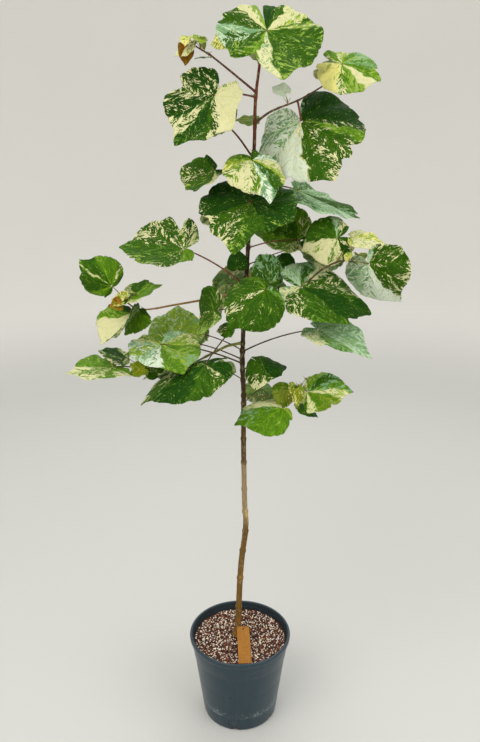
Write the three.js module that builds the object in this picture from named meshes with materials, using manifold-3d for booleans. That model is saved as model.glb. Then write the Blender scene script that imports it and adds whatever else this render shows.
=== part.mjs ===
// A young hibiscus shrub with variegated leaves, growing in a filled nursery pot.
// Millimetres, +Z up. The origin is the centre of the pot's flat underside.

import * as THREE from 'three';
import { mergeVertices } from 'three/addons/utils/BufferGeometryUtils.js';
import Module from 'manifold-3d';

const wasm = await Module();
wasm.setup();

// Driving dimensions
const SEAT_GAP = 0.3;
const POT = {
  height: 240, rim: 138, lip: 15, underLip: 131, ringHeight: 180, ringStep: 1.2, foot: 101, footEdge: 3,
  wall: 2.6, floor: 4, corner: 12, sides: 36,
};
const NOTCH = { count: 6, width: 16, height: 7, depth: 7, firstBearing: -97 };
const MIX = { top: 220, rings: 4, flat: 34, roughness: 3.5, seed: 7 };
const LABEL = { width: 34, length: 112, thickness: 1.4, corner: 4, hole: 2.6, topCentre: [8, 1.5, 250.7], tilt: 16, turn: 3 };
const TRUNK = {
  foot: 8.6, tip: 2.9, taper: 0.9, flare: 0.7, flareHeight: 16, sides: 8, steps: 28,
  way: [
    [-6, 12, MIX.top + SEAT_GAP], [-6, 12, 236], [2, 7, 430], [15, 3, 555], [12, 0, 630], [9, 0, 790], [9, 0, 920],
    [6, 0, 1030], [16, 0, 1230], [24, 0, 1370], [32, 0, 1510], [34, 0, 1600], [43, 0, 1677],
  ],
};
const LIMB = { sides: 6, spacing: 30 };
const STALK = { thin: 0.8, thick: 1.9, perWidth: 0.009, end: 0.0045, sides: 4, steps: 3, youngSteps: 1, arch: 0.1 };
const BLADE = {
  sectors: 14, youngSectors: 8, youngWidth: 70, innerRing: 0.55, thickness: 0.014, spread: 0.24,
  body: 0.49, forward: 0.11, drip: 0.12, dripSpread: 14, sinus: 0.33, sinusSpread: 20,
  waves: 5, waveHeight: 0.016,
};
const SPRAY_SEED = 31;
const BUD = { width: [22, 34], stalk: [14, 26], rise: [20, 65], turnStep: 137.5, clearance: 9 };

// Finishes
const FINISH = {
  pot: { color: 0x2f444b, roughness: 0.55 },
  mix: { color: 0x4a342a, roughness: 0.95 },
  card: { color: 0xb98a4e, roughness: 0.8 },
  bark: { color: 0x6b5638, roughness: 0.85 },
  twig: { color: 0x4a3426, roughness: 0.75 },
  leaf: { color: 0x3f7a22, roughness: 0.5 },
};

// Boughs: where each leaves the trunk, the points on its way, and its radius at root and tip.
// stem: the points on the way of the twig that goes on from the bough's tip and carries the spray.
const BOUGHS = {
  top: {
    tip: [2.8, 1.4], stem: [[48, -2, 1694], [52, -8, 1712]],
  },
  upper_left: {
    height: 1616, way: [[-30, -5, 1665], [-65, -10, 1690]], radius: [2.6, 1.9],
    stem: [[-84, -10, 1700], [-98, -10, 1708]], tip: [1.9, 1.2],
  },
  upper_right: {
    height: 1553, way: [[62, -8, 1573], [84, -10, 1583]], radius: [2.8, 2.2],
    stem: [[130, -15, 1600], [185, -25, 1630], [205, -29, 1650]], tip: [2.1, 1.3],
  },
  behind_left: {
    height: 1478, way: [[0, 12, 1520], [-22, 24, 1545]], radius: [2.4, 1.9],
    stem: [[-45, 42, 1575], [-60, 58, 1590]], tip: [1.8, 1.2],
  },
  mid_right: {
    height: 1172, way: [[42, -6, 1180], [68, -10, 1186]], radius: [3.4, 2.8],
    stem: [[140, -25, 1196], [190, -30, 1235], [230, -35, 1254], [262, -39, 1252]], tip: [2.7, 1.4],
  },
  mid_left: {
    height: 1176, way: [[-20, 8, 1171], [-95, 22, 1154], [-165, 0, 1145], [-196, -20, 1142]], radius: [3, 2.1],
    stem: [[-222, -30, 1141], [-246, -31, 1146], [-265, -34, 1160]], tip: [2, 1.3],
  },
  low_left: {
    height: 1054, way: [[-28, -5, 1048], [-52, -6, 1037], [-84, 4, 1018]], radius: [3.6, 2.7],
    stem: [[-110, 14, 1003], [-155, 10, 993], [-215, -15, 993], [-248, -25, 997]], tip: [2.6, 1.4],
  },
  low_right: {
    height: 920, way: [[42, -10, 920], [74, -24, 926]], radius: [2.7, 2.1],
    stem: [[104, -34, 944], [126, -40, 955], [148, -45, 955]], tip: [2, 1.3],
  },
  back: {
    height: 1140, way: [[14, 40, 1158], [18, 78, 1168]], radius: [3, 2.4],
    stem: [[26, 112, 1172], [30, 150, 1178], [24, 176, 1186]], tip: [2.3, 1.4],
  },
};

// Leaves. joint: where the stalk meets the blade. faces: the bearing and rise of the blade's upper side.
// turn: how far the tip swings from the blade's own downhill. cup lifts the sides, bend lowers the tip,
// and lobes shortens the two lobes at the blade's base. root: the share of the spray's stem, or the
// height on the trunk, where the stalk starts.
const SPRAYS = {
  top: [
    { root: 0.9, joint: [56, -35, 1732], width: 222, faces: [-80, 40], turn: 4, cup: 0.1, bend: -0.1, lobes: 0.9 },
    { root: 0.3, joint: [-8, 30, 1742], width: 92, faces: [-115, 40], turn: -62, cup: 0, bend: 0.2, lobes: 0.8 },
    { root: 0.5, joint: [80, 45, 1722], width: 140, faces: [75, 35], turn: 10, cup: 0, bend: 0.3, lobes: 0.8 },
  ],
  upper_left: [
    { root: 0.9, joint: [-104, -12, 1712], width: 66, faces: [-115, 50], turn: -75, cup: -0.2, bend: 0.4, lobes: 0.5 },
    { root: 1, joint: [-114, -16, 1706], width: 44, faces: [-60, 5], turn: -5, cup: 0.2, bend: 0.1, lobes: 0.3 },
    { root: 0.5, joint: [-88, -16, 1716], width: 34, faces: [-85, 45], turn: 135, cup: 0.1, bend: 0.2, lobes: 0.6 },
    { root: 0.1, joint: [-66, -24, 1682], width: 46, faces: [-90, 82], turn: -80, cup: 0, bend: 0.1, lobes: 0.4 },
  ],
  upper_right: [
    { root: 1, joint: [216, -30, 1668], width: 132, faces: [-98, 43], turn: 70, cup: -0.3, bend: 0.2, lobes: 1.1 },
    { root: 0.3, joint: [135, 0, 1557], width: 242, faces: [-116, 35], turn: 32, cup: -0.45, bend: 0.2, lobes: 0.95 },
    { root: 0.9, joint: [206, 0, 1672], width: 52, faces: [-90, 55], turn: -140, cup: 0, bend: 0.2, lobes: 0.7 },
    { root: 0.8, joint: [174, -22, 1648], width: 30, faces: [-90, 30], turn: -135, cup: 0, bend: 0.2, lobes: 0.5 },
    { root: 0.15, joint: [98, -22, 1612], width: 52, faces: [-90, 35], turn: -130, cup: 0.2, bend: 0.2, lobes: 0.5 },
  ],
  behind_left: [
    { root: 1, joint: [-66, 66, 1592], width: 150, faces: [115, 30], turn: 20, cup: -0.2, bend: 0.3, lobes: 0.8 },
  ],
  mid_right: [
    { root: 0.3, joint: [140, -45, 1196], width: 198, faces: [-72, 55], turn: 68, cup: -0.05, bend: 0.15, long: 1.25, lobes: 0.75 },
    { root: 1, joint: [294, -40, 1248], width: 156, faces: [-123, -5], turn: 28, cup: -0.35, bend: 0.6, lobes: 0.6 },
    { root: 0.55, joint: [223, -15, 1304], width: 118, faces: [-77, 22], turn: -75, cup: -0.15, bend: 0.25, lobes: 0.9 },
    { root: 0.7, joint: [259, 0, 1305], width: 112, faces: [-82, 70], turn: 75, cup: -0.05, bend: 0.1, lobes: 0.25 },
    { root: 0.08, joint: [102, 22, 1231], width: 54, faces: [-95, 0], turn: 160, cup: -0.25, bend: 0.25, long: 1.1, lobes: 0.35 },
  ],
  mid_left: [
    { root: 1, joint: [-295, -40, 1197], width: 106, faces: [-74, -5], turn: -130, cup: -0.5, bend: 0.25, long: 1.2, lobes: 0.25 },
    { root: 0.9, joint: [-261, -30, 1166], width: 106, faces: [-136, 65], turn: 143, cup: 0.2, bend: -0.05, long: 1.15, lobes: 0.25 },
    { root: 0.7, joint: [-255, -45, 1135], width: 160, faces: [-150, 40], turn: 8, cup: 0.35, bend: -0.15, lobes: 0.3 },
    { root: 0.35, joint: [-236, -35, 1141], width: 96, faces: [-137, 35], turn: -18, cup: -0.3, bend: 0.2, lobes: 0.35 },
    { root: 1, joint: [-268, -52, 1166], width: 48, faces: [-100, 50], turn: -105, cup: 0.2, bend: 0.2, lobes: 0.4 },
    { root: 1, joint: [-274, -60, 1160], width: 34, faces: [-70, 20], turn: -80, cup: 0.3, bend: 0.2, lobes: 0.4 },
  ],
  low_left: [
    { root: 1, joint: [-304, -35, 1003], width: 168, faces: [-82, 85], turn: -60, cup: 0.05, bend: -0.05, lobes: 0.35 },
    { root: 0.9, joint: [-274, -5, 1017], width: 88, faces: [-62, 76], turn: -113, cup: 0.05, bend: -0.2, long: 1.15, lobes: 0.25 },
    { root: 0.25, joint: [-148, 30, 981], width: 136, faces: [-96, 85], turn: -89, cup: 0, bend: 0.3, lobes: 0.85 },
    { root: 0.8, joint: [-226, -64, 1006], width: 52, faces: [-95, 40], turn: -70, cup: 0, bend: 0.2, lobes: 0.6 },
    { root: 0.6, joint: [-196, -58, 996], width: 54, faces: [-70, 25], turn: -140, cup: 0.2, bend: 0.3, lobes: 0.5 },
  ],
  low_right: [
    { root: 1, joint: [160, -55, 947], width: 120, faces: [-130, 47], turn: 117, cup: -0.05, bend: 0.3, long: 1.2, lobes: 0.25 },
    { root: 0.4, joint: [115, -45, 948], width: 66, faces: [-57, 21], turn: -40, cup: -0.45, bend: 0.3, lobes: 0.65 },
    { root: 0.8, joint: [137, -70, 961], width: 55, faces: [-39, 24], turn: -13, cup: -0.15, bend: 0.3, long: 1.1, lobes: 0.45 },
    { root: 0.9, joint: [145, -45, 916], width: 68, faces: [-41, 64], turn: 32, cup: -0.15, bend: 0.3, long: 1.15, lobes: 0.55 },
    { root: 0.1, joint: [102, -75, 913], width: 140, faces: [-59, 70], turn: -103, cup: -0.4, bend: 0.35, long: 1.15, lobes: 0.35 },
  ],
  back: [
    { root: 1, joint: [14, 196, 1192], width: 165, faces: [95, 35], turn: 12, cup: -0.2, bend: 0.3, lobes: 0.8 },
    { root: 0.5, joint: [74, 150, 1186], width: 140, faces: [40, 40], turn: 20, cup: -0.1, bend: 0.3, lobes: 0.8 },
    { root: 0.3, joint: [-34, 128, 1180], width: 140, faces: [150, 38], turn: -15, cup: -0.2, bend: 0.3, lobes: 0.8 },
  ],
};
const TRUNK_LEAVES = {
  high_left: { root: 1606, joint: [-55, -50, 1604], width: 188, faces: [-115, 24], turn: -27, cup: 0.2, bend: -0.15, lobes: 0.75 },
  high_behind: { root: 1545, joint: [34, 26, 1561], width: 66, faces: [-90, 80], turn: -95, cup: 0, bend: 0, lobes: 0.5 },
  left: { root: 1440, joint: [-56, 0, 1452], width: 148, faces: [-126, 52], turn: -38, cup: 0.3, bend: 0.05, lobes: 0.25 },
  front_high: { root: 1492, joint: [26, -70, 1472], width: 138, faces: [-75, 52], turn: 13, cup: -0.3, bend: 0.3, long: 1.05, lobes: 0.65 },
  front_broad: { root: 1398, joint: [24, -55, 1387], width: 218, faces: [-98, 52], turn: -10, cup: 0.05, bend: 0.15, long: 0.95, lobes: 0.9 },
  right_drooping: { root: 1420, joint: [136, 45, 1410], width: 186, faces: [-35, 60], turn: 29, cup: 0, bend: -0.05, long: 1.3, lobes: 0.35 },
  right_dark: { root: 1280, joint: [138, 45, 1295], width: 142, faces: [-88, 45], turn: -102, cup: 0.5, bend: 0.1, long: 0.9, lobes: 0.65 },
  long_stalk: { root: 1032, joint: [182, -30, 1094], width: 172, faces: [-77, 82], turn: 52, cup: 0.1, bend: 0.25, long: 1.15, lobes: 0.45 },
  front_low: { root: 1148, joint: [57, -118, 1202], width: 138, faces: [-79, 44], turn: -54, cup: -0.55, bend: 0.45, long: 1.15, lobes: 0.45 },
  front_grey: { root: 1160, joint: [67, -42, 1204], width: 88, faces: [-60, 0], turn: 173, cup: -0.2, bend: 0.35, long: 1.3, lobes: 0.25 },
  front_dark: { root: 1206, joint: [-7, -20, 1236], width: 54, faces: [-114, 0], turn: 184, cup: -0.15, bend: 0.25, long: 1.15, lobes: 0.35 },
  side_left: { root: 1132, joint: [-60, -58, 1142], width: 118, faces: [-140, 26], turn: -69, cup: 0.35, bend: 0.35, lobes: 0.7 },
  side_small: { root: 1090, joint: [-21, -75, 1109], width: 51, faces: [-109, 54], turn: -74, cup: -0.3, bend: 0.25, lobes: 0.5 },
  fan_left: { root: 1192, joint: [-128, -30, 1281], width: 188, faces: [-94, 58], turn: -93, cup: 0.25, bend: 0, long: 1.15, lobes: 0.45 },
  low_pale: { root: 1012, joint: [-167, 20, 1058], width: 152, faces: [-106, 30], turn: 185, cup: -0.25, bend: 0.25, long: 0.9, lobes: 0.25 },
  low_glaucous: { root: 1002, joint: [-187, -40, 1060], width: 172, faces: [-68, 68], turn: 10, cup: 0.05, bend: 0, lobes: 0.75 },
  low_broad: { root: 1116, joint: [-80, -92, 1024], width: 176, faces: [-123, 79], turn: -47, cup: -0.45, bend: 0.35, long: 1.3, lobes: 0.95 },
  low_right: { root: 985, joint: [52, -50, 1014], width: 105, faces: [-99, 61], turn: 59, cup: -0.6, bend: 0.1, long: 0.9, lobes: 0.85 },
  back_high_right: { root: 1430, joint: [88, 134, 1500], width: 120, faces: [20, 25], turn: 10, cup: -0.2, bend: 0.3, lobes: 0.8 },
  back_left: { root: 1350, joint: [-46, 80, 1368], width: 124, faces: [125, 35], turn: 10, cup: -0.2, bend: 0.3, lobes: 0.8 },
  back_right: { root: 1320, joint: [76, 110, 1352], width: 112, faces: [85, 30], turn: -10, cup: -0.1, bend: 0.3, lobes: 0.8 },
  back_mid_right: { root: 1240, joint: [205, 90, 1280], width: 120, faces: [55, 40], turn: 15, cup: -0.2, bend: 0.3, lobes: 0.8 },
  back_low_left: { root: 1035, joint: [-140, 104, 1060], width: 140, faces: [125, 40], turn: 0, cup: -0.2, bend: 0.3, lobes: 0.8 },
  back_under: { root: 960, joint: [-66, 58, 978], width: 112, faces: [110, 45], turn: -10, cup: -0.2, bend: 0.3, lobes: 0.8 },
  back_low_right: { root: 900, joint: [56, 72, 916], width: 104, faces: [70, 40], turn: 10, cup: -0.2, bend: 0.3, lobes: 0.8 },
};

// Arithmetic
const radians = THREE.MathUtils.degToRad;
const vector = (numbers) => new THREE.Vector3(...numbers);

function seeded(seed) {
  let state = seed >>> 0;
  return () => {
    state = (Math.imul(state, 1664525) + 1013904223) >>> 0;
    return state / 4294967296;
  };
}

function between(range, share) {
  return range[0] + (range[1] - range[0]) * share;
}

// Solids: a closed geometry becomes one body, and a body becomes a geometry again
function solidOf(geometry) {
  const bare = geometry.index ? geometry.toNonIndexed() : geometry.clone();
  bare.deleteAttribute('normal');
  bare.deleteAttribute('uv');
  const merged = mergeVertices(bare, 1e-4);
  const corners = merged.index.array;
  const faces = [];
  for (let i = 0; i < corners.length; i += 3) {
    const [a, b, c] = [corners[i], corners[i + 1], corners[i + 2]];
    if (a !== b && b !== c && c !== a) {
      faces.push(a, b, c);
    }
  }
  const vertProperties = new Float32Array(merged.attributes.position.array);
  return new wasm.Manifold(new wasm.Mesh({ numProp: 3, vertProperties, triVerts: new Uint32Array(faces) }));
}

function geometryOf(solid) {
  const mesh = solid.getMesh();
  const geometry = new THREE.BufferGeometry();
  geometry.setAttribute('position', new THREE.BufferAttribute(mesh.vertProperties, 3));
  geometry.setIndex(new THREE.BufferAttribute(mesh.triVerts, 1));
  return geometry;
}

function joined(solids) {
  return solids.reduce((all, solid) => all.add(solid));
}

// Limbs: a cylinder with a ring every step, bent along its curve and tapered
function curveThrough(points) {
  return new THREE.CatmullRomCurve3(points.map(vector), false, 'catmullrom', 0.5);
}

function leastAlignedAxis(direction) {
  const sizes = direction.toArray().map(Math.abs);
  const axis = sizes.indexOf(Math.min(...sizes));
  return new THREE.Vector3().setComponent(axis, 1);
}

// A limb grown by a gap all over, ends included, is the sleeve that is cut from what meets it
function limbSolid(curve, radiusAt, sides, steps, grow = 0) {
  const geometry = new THREE.CylinderGeometry(1, 1, 1, sides, steps);
  const position = geometry.attributes.position;
  const reference = leastAlignedAxis(curve.getPoint(1).sub(curve.getPoint(0)));
  const place = new THREE.Vector3();
  for (let i = 0; i < position.count; i += 1) {
    place.fromBufferAttribute(position, i);
    const share = place.y + 0.5;
    const along = curve.getTangent(share);
    const side = new THREE.Vector3().crossVectors(reference, along).normalize();
    const other = new THREE.Vector3().crossVectors(side, along);
    const radius = radiusAt(share) + grow;
    const past = (share > 0.999) - (share < 0.001);
    const point = curve.getPoint(share).addScaledVector(along, past * grow);
    point.addScaledVector(side, place.x * radius).addScaledVector(other, place.z * radius);
    position.setXYZ(i, point.x, point.y, point.z);
  }
  return solidOf(geometry);
}

function taper(thick, thin) {
  return (share) => thick + (thin - thick) * share;
}

function stepsFor(curve, spacing) {
  return Math.max(2, Math.round(curve.getLength() / spacing));
}

// Trunk
const trunkCurve = curveThrough(TRUNK.way);
const trunkPoints = trunkCurve.getPoints(240);

function trunkAt(height) {
  const after = trunkPoints.findIndex((point) => point.z >= height);
  const [low, high] = [trunkPoints[after - 1], trunkPoints[after]];
  return low.clone().lerp(high, (height - low.z) / (high.z - low.z));
}

function trunkRadius(share) {
  const height = trunkCurve.getPoint(share).z - TRUNK.way[0][2];
  const flare = 1 + TRUNK.flare * Math.exp(-height / TRUNK.flareHeight);
  return (TRUNK.tip + (TRUNK.foot - TRUNK.tip) * (1 - share) ** TRUNK.taper) * flare;
}

// Blades: a disc of two rings, one in a young leaf, given the leaf's outline, cup, bend and waves
function outlineRadius(bearing) {
  const degrees = Math.abs(THREE.MathUtils.radToDeg(bearing));
  const drip = BLADE.drip * Math.exp(-((degrees / BLADE.dripSpread) ** 2));
  const sinus = BLADE.sinus * Math.exp(-(((180 - degrees) / BLADE.sinusSpread) ** 2));
  return BLADE.body + BLADE.forward * Math.cos(bearing) + drip - sinus;
}

function bladeFrame(leaf) {
  const [bearing, rise] = leaf.faces.map(radians);
  const turn = radians(leaf.turn);
  const flat = new THREE.Vector3(Math.cos(bearing), Math.sin(bearing), 0);
  const face = flat.clone().multiplyScalar(Math.cos(rise)).setZ(Math.sin(rise));
  const downhill = flat.clone().multiplyScalar(Math.sin(rise)).setZ(-Math.cos(rise));
  const across = new THREE.Vector3().crossVectors(face, downhill);
  const tip = downhill.multiplyScalar(Math.cos(turn)).addScaledVector(across, Math.sin(turn));
  const side = new THREE.Vector3().crossVectors(face, tip);
  return { tip, side, face };
}

function bladePoint(leaf, frame, bearing, reach, lift) {
  const radius = outlineRadius(bearing) * reach;
  const across = radius * Math.sin(bearing);
  const forward = radius * Math.cos(bearing);
  const along = forward * (forward < 0 ? leaf.lobes : leaf.long ?? 1);
  const wave = BLADE.waveHeight * reach ** 3 * Math.sin(BLADE.waves * bearing + leaf.phase);
  const droop = 1.4 * leaf.bend * Math.max(along, 0) ** 2;
  const height = 2 * leaf.cup * across * across - droop + wave + lift * BLADE.thickness;
  return vector(leaf.joint)
    .addScaledVector(frame.side, across * leaf.width)
    .addScaledVector(frame.tip, along * leaf.width)
    .addScaledVector(frame.face, height * leaf.width);
}

function bladeSolid(leaf) {
  const young = leaf.width < BLADE.youngWidth;
  const reaches = young ? [0, 1] : [0, BLADE.innerRing, 1];
  const under = reaches.map((reach) => new THREE.Vector2(reach, -0.5));
  const upper = reaches.map((reach) => new THREE.Vector2(reach, 0.5)).reverse();
  const geometry = new THREE.LatheGeometry([...under, ...upper], young ? BLADE.youngSectors : BLADE.sectors);
  const position = geometry.attributes.position;
  const frame = bladeFrame(leaf);
  const place = new THREE.Vector3();
  for (let i = 0; i < position.count; i += 1) {
    place.fromBufferAttribute(position, i);
    const reach = Math.hypot(place.x, place.z);
    const even = reach > 0 ? Math.atan2(place.x, place.z) : 0;
    const bearing = even - BLADE.spread * Math.sin(2 * even);
    const point = bladePoint(leaf, frame, bearing, reach, place.y);
    position.setXYZ(i, point.x, point.y, point.z);
  }
  return solidOf(geometry);
}

// Leaves: a stalk that arches from its root to the joint, with the blade fused on
function stalkCurve(root, joint) {
  const middle = root.clone().lerp(joint, 0.5);
  middle.z += STALK.arch * root.distanceTo(joint);
  return new THREE.QuadraticBezierCurve3(root, middle, joint);
}

function leafSolid(leaf, root) {
  const joint = vector(leaf.joint);
  const thick = THREE.MathUtils.clamp(leaf.width * STALK.perWidth, STALK.thin, STALK.thick);
  const thin = leaf.width * STALK.end;
  const steps = leaf.width < BLADE.youngWidth ? STALK.youngSteps : STALK.steps;
  const stalk = limbSolid(stalkCurve(root, joint), taper(thick, thin), STALK.sides, steps);
  return stalk.add(bladeSolid(leaf));
}

// Sprays: one stem, the leaves that it carries, and a young pair at its tip by the seeded rule
function nearLimb(point, limbs, clearance) {
  return limbs.some((curve) => curve.getPoints(24).some((limb) => limb.distanceTo(point) < clearance));
}

function budLeaves(stem, limbs, random) {
  const tip = stem.getPoint(1);
  const heading = stem.getTangent(1);
  const first = THREE.MathUtils.radToDeg(Math.atan2(heading.y, heading.x));
  const buds = [];
  for (let i = 0; i < 2; i += 1) {
    const bearing = first + BUD.turnStep * (i + 0.5) + 40 * (random() - 0.5);
    const rise = between(BUD.rise, random());
    const stalk = between(BUD.stalk, random());
    const width = between(BUD.width, random());
    const flat = new THREE.Vector3(Math.cos(radians(bearing)), Math.sin(radians(bearing)), 0);
    const joint = tip.clone().addScaledVector(flat, stalk * Math.cos(radians(rise)));
    joint.z += stalk * Math.sin(radians(rise));
    const bud = { root: 0.95, joint: joint.toArray(), width, faces: [bearing, 50], turn: 0, cup: 0.4, bend: 0.2, lobes: 0.6 };
    if (!nearLimb(joint, limbs, BUD.clearance)) {
      buds.push(bud);
    }
  }
  return buds;
}

function spraySolid(start, bough, leaves, limbs, random) {
  const stem = curveThrough([start, ...bough.stem]);
  const solids = [limbSolid(stem, taper(...bough.tip), LIMB.sides, stepsFor(stem, LIMB.spacing))];
  const all = [...leaves, ...budLeaves(stem, limbs, random)];
  for (const leaf of all) {
    leaf.phase = random() * 2 * Math.PI;
    solids.push(leafSolid(leaf, stem.getPoint(leaf.root)));
  }
  return joined(solids);
}

// Pot: one turned wall and floor, with a rolled lip, two raised rings and drain notches round the foot
function potSolid() {
  const { height, rim, lip, underLip, ringHeight, ringStep, foot, footEdge, wall, floor, corner, sides } = POT;
  const bodyAt = (z) => foot + (underLip - foot) * (z / (height - lip));
  const inner = potInnerRadius;
  const outline = [
    [0, 0], [foot - footEdge, 0], [bodyAt(footEdge), footEdge],
    [bodyAt(ringHeight), ringHeight], [bodyAt(ringHeight) + ringStep, ringHeight + ringStep],
    [underLip + ringStep, height - lip - 4], [underLip + 2.2, height - lip], [rim - 1.2, height - lip + 1.5],
    [rim, height - 4], [rim - 1.6, height - 0.6], [rim - 3.6, height], [inner(height) + 1, height - 0.6],
    [inner(height - 5), height - 5], [inner(floor + corner), floor + corner],
    [inner(floor + corner) - corner, floor], [0, floor],
  ];
  const profile = outline.map(([radius, z]) => new THREE.Vector2(radius, z));
  const turned = solidOf(new THREE.LatheGeometry(profile, sides).rotateX(Math.PI / 2));
  const notches = Array.from({ length: NOTCH.count }, (_, i) => {
    const bearing = radians(NOTCH.firstBearing + (360 / NOTCH.count) * i);
    const block = new THREE.BoxGeometry(2 * NOTCH.depth, NOTCH.width, 2 * NOTCH.height);
    block.rotateZ(bearing).translate(foot * Math.cos(bearing), foot * Math.sin(bearing), 0);
    return solidOf(block);
  });
  return turned.subtract(joined(notches));
}

function potInnerRadius(z) {
  return POT.foot + (POT.underLip - POT.foot) * (z / (POT.height - POT.lip)) - POT.wall;
}

// Potting mix: fills the pot to just below the lip, with an uneven top that stays flat round the trunk
function mixSolid() {
  const low = POT.floor + SEAT_GAP;
  const bend = POT.floor + POT.corner;
  const edge = (z) => potInnerRadius(z) - SEAT_GAP;
  const outline = [[0, low], [edge(bend) - POT.corner, low], [edge(bend), bend + SEAT_GAP], [edge(MIX.top), MIX.top]];
  for (let ring = MIX.rings - 1; ring >= 0; ring -= 1) {
    outline.push([(edge(MIX.top) * ring) / MIX.rings, MIX.top]);
  }
  const geometry = new THREE.LatheGeometry(outline.map(([radius, z]) => new THREE.Vector2(radius, z)), POT.sides);
  geometry.rotateX(Math.PI / 2);
  const position = geometry.attributes.position;
  const random = seeded(MIX.seed);
  const heights = new Map();
  for (let i = 0; i < position.count; i += 1) {
    const [x, y, z] = [position.getX(i), position.getY(i), position.getZ(i)];
    const key = `${Math.round(10 * x)} ${Math.round(10 * y)}`;
    const fromAxis = Math.hypot(x, y);
    if (z > MIX.top - 1 && fromAxis > MIX.flat && fromAxis < edge(MIX.top) - 1) {
      if (!heights.has(key)) {
        heights.set(key, z - MIX.roughness * random());
      }
      position.setZ(i, heights.get(key));
    }
  }
  return solidOf(geometry);
}

// Label: a bare card tag that leans on the trunk's foot with its lower end on the mix
function labelSolid() {
  const { width, length, thickness, corner, hole, topCentre, tilt, turn } = LABEL;
  const shape = new THREE.Shape();
  shape.moveTo(-width / 2, -length);
  shape.lineTo(width / 2, -length);
  shape.lineTo(width / 2, -corner);
  shape.lineTo(width / 2 - corner, 0);
  shape.lineTo(-width / 2 + corner, 0);
  shape.lineTo(-width / 2, -corner);
  const eye = new THREE.Path();
  eye.absarc(0, -3 * hole, hole, 0, 2 * Math.PI, true);
  shape.holes.push(eye);
  const geometry = new THREE.ExtrudeGeometry(shape, { depth: thickness, bevelEnabled: false, curveSegments: 8 });
  geometry.rotateX(radians(tilt)).rotateZ(radians(turn)).translate(...topCentre);
  return solidOf(geometry);
}

// Assembly
const plant = new THREE.Group();

function addNode(name, solid, finish) {
  const material = new THREE.MeshStandardMaterial({ ...FINISH[finish], metalness: 0 });
  const mesh = new THREE.Mesh(geometryOf(solid), material);
  mesh.name = name;
  plant.add(mesh);
}

addNode('pot', potSolid(), 'pot');
addNode('potting_mix', mixSolid(), 'mix');
addNode('plant_label', labelSolid(), 'card');
addNode('trunk', limbSolid(trunkCurve, trunkRadius, TRUNK.sides, TRUNK.steps), 'bark');

const trunkSleeve = limbSolid(trunkCurve, trunkRadius, TRUNK.sides, TRUNK.steps, SEAT_GAP);
const limbs = [trunkCurve];

Object.entries(BOUGHS).forEach(([place, bough], index) => {
  const random = seeded(SPRAY_SEED + index);
  let start = trunkCurve.getPoint(1).toArray();
  let sleeve = trunkSleeve;
  if (bough.way) {
    const curve = curveThrough([trunkAt(bough.height).toArray(), ...bough.way]);
    const shape = [curve, taper(...bough.radius), LIMB.sides, stepsFor(curve, LIMB.spacing)];
    addNode(`bough_${place}`, limbSolid(...shape).subtract(trunkSleeve), 'twig');
    limbs.push(curve);
    start = curve.getPoint(1).toArray();
    sleeve = limbSolid(...shape, SEAT_GAP);
  }
  addNode(`foliage_${place}`, spraySolid(start, bough, SPRAYS[place], limbs, random).subtract(sleeve), 'leaf');
});

for (const [place, leaf] of Object.entries(TRUNK_LEAVES)) {
  leaf.phase = seeded(leaf.width + leaf.root)() * 2 * Math.PI;
  addNode(`leaf_${place}`, leafSolid(leaf, trunkAt(leaf.root)).subtract(trunkSleeve), 'leaf');
}

export default plant;
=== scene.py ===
"""Dresses a potted sea hibiscus: bark, stalks, marked leaves, pot, potting mix and a card label."""
import sys
import logging
import math
import re
from dataclasses import dataclass, field
from enum import Enum
from typing import Any, Callable, Sequence

import bpy
import numpy as np
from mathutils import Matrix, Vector


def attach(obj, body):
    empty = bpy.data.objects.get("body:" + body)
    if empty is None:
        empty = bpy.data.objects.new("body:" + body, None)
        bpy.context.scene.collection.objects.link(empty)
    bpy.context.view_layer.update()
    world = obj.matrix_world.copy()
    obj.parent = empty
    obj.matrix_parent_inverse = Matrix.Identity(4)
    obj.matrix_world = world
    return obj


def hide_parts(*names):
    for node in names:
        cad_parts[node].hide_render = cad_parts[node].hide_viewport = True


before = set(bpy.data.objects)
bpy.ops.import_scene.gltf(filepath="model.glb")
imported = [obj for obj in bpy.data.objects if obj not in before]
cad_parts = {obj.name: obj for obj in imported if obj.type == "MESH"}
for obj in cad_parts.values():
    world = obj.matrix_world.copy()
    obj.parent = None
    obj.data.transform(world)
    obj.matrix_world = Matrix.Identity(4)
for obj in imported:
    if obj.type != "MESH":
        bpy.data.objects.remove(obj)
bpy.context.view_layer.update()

log = logging.getLogger("hibiscus")
MM = 0.001
FULL_TURN = 2 * math.pi


def linear(code: str) -> tuple[float, float, float, float]:
    """Turns a six-digit screen colour into a linear one.

    Args:
        code: The colour as rrggbb.

    Returns:
        Red, green, blue and alpha.
    """
    parts = [int(code[i : i + 2], 16) / 255 for i in (0, 2, 4)]
    return (*[c / 12.92 if c <= 0.04045 else ((c + 0.055) / 1.055) ** 2.4 for c in parts], 1.0)


class Tone(Enum):
    """The tones of a leaf, each by the letter that its marks use."""

    # K is a very dark green: partly the leaves' own dark sectors, partly painted shade on blades deep in the
    # crown.
    K = "1e4805"
    D = "355e07"
    M = "598613"
    L = "8aaa38"
    G = "82ac7c"
    P = "bdd6b2"
    C = "dedaa4"
    W = "e4eed8"
    Y = "e8e084"
    A = "7f8e1a"
    O = "96681c"


class Seeded:
    """The plant's own random numbers, the same in its solids and here."""

    def __init__(self, seed: float) -> None:
        """Starts the run of numbers at a whole seed."""
        self.state = int(seed) & 0xFFFFFFFF

    def __call__(self) -> float:
        """The next number, from 0 up to 1."""
        self.state = (self.state * 1664525 + 1013904223) & 0xFFFFFFFF
        return self.state / 4294967296

    def between(self, low: float, high: float) -> float:
        """The next number, from low up to high."""
        return low + (high - low) * self()


def unit(way: np.ndarray) -> np.ndarray:
    """The direction of a vector, as one of length 1."""
    return way / max(np.linalg.norm(way), 1e-6)


def level(bearing: float) -> np.ndarray:
    """The level direction at a bearing in degrees."""
    turn = math.radians(bearing)
    return np.array([math.cos(turn), math.sin(turn), 0])


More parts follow.
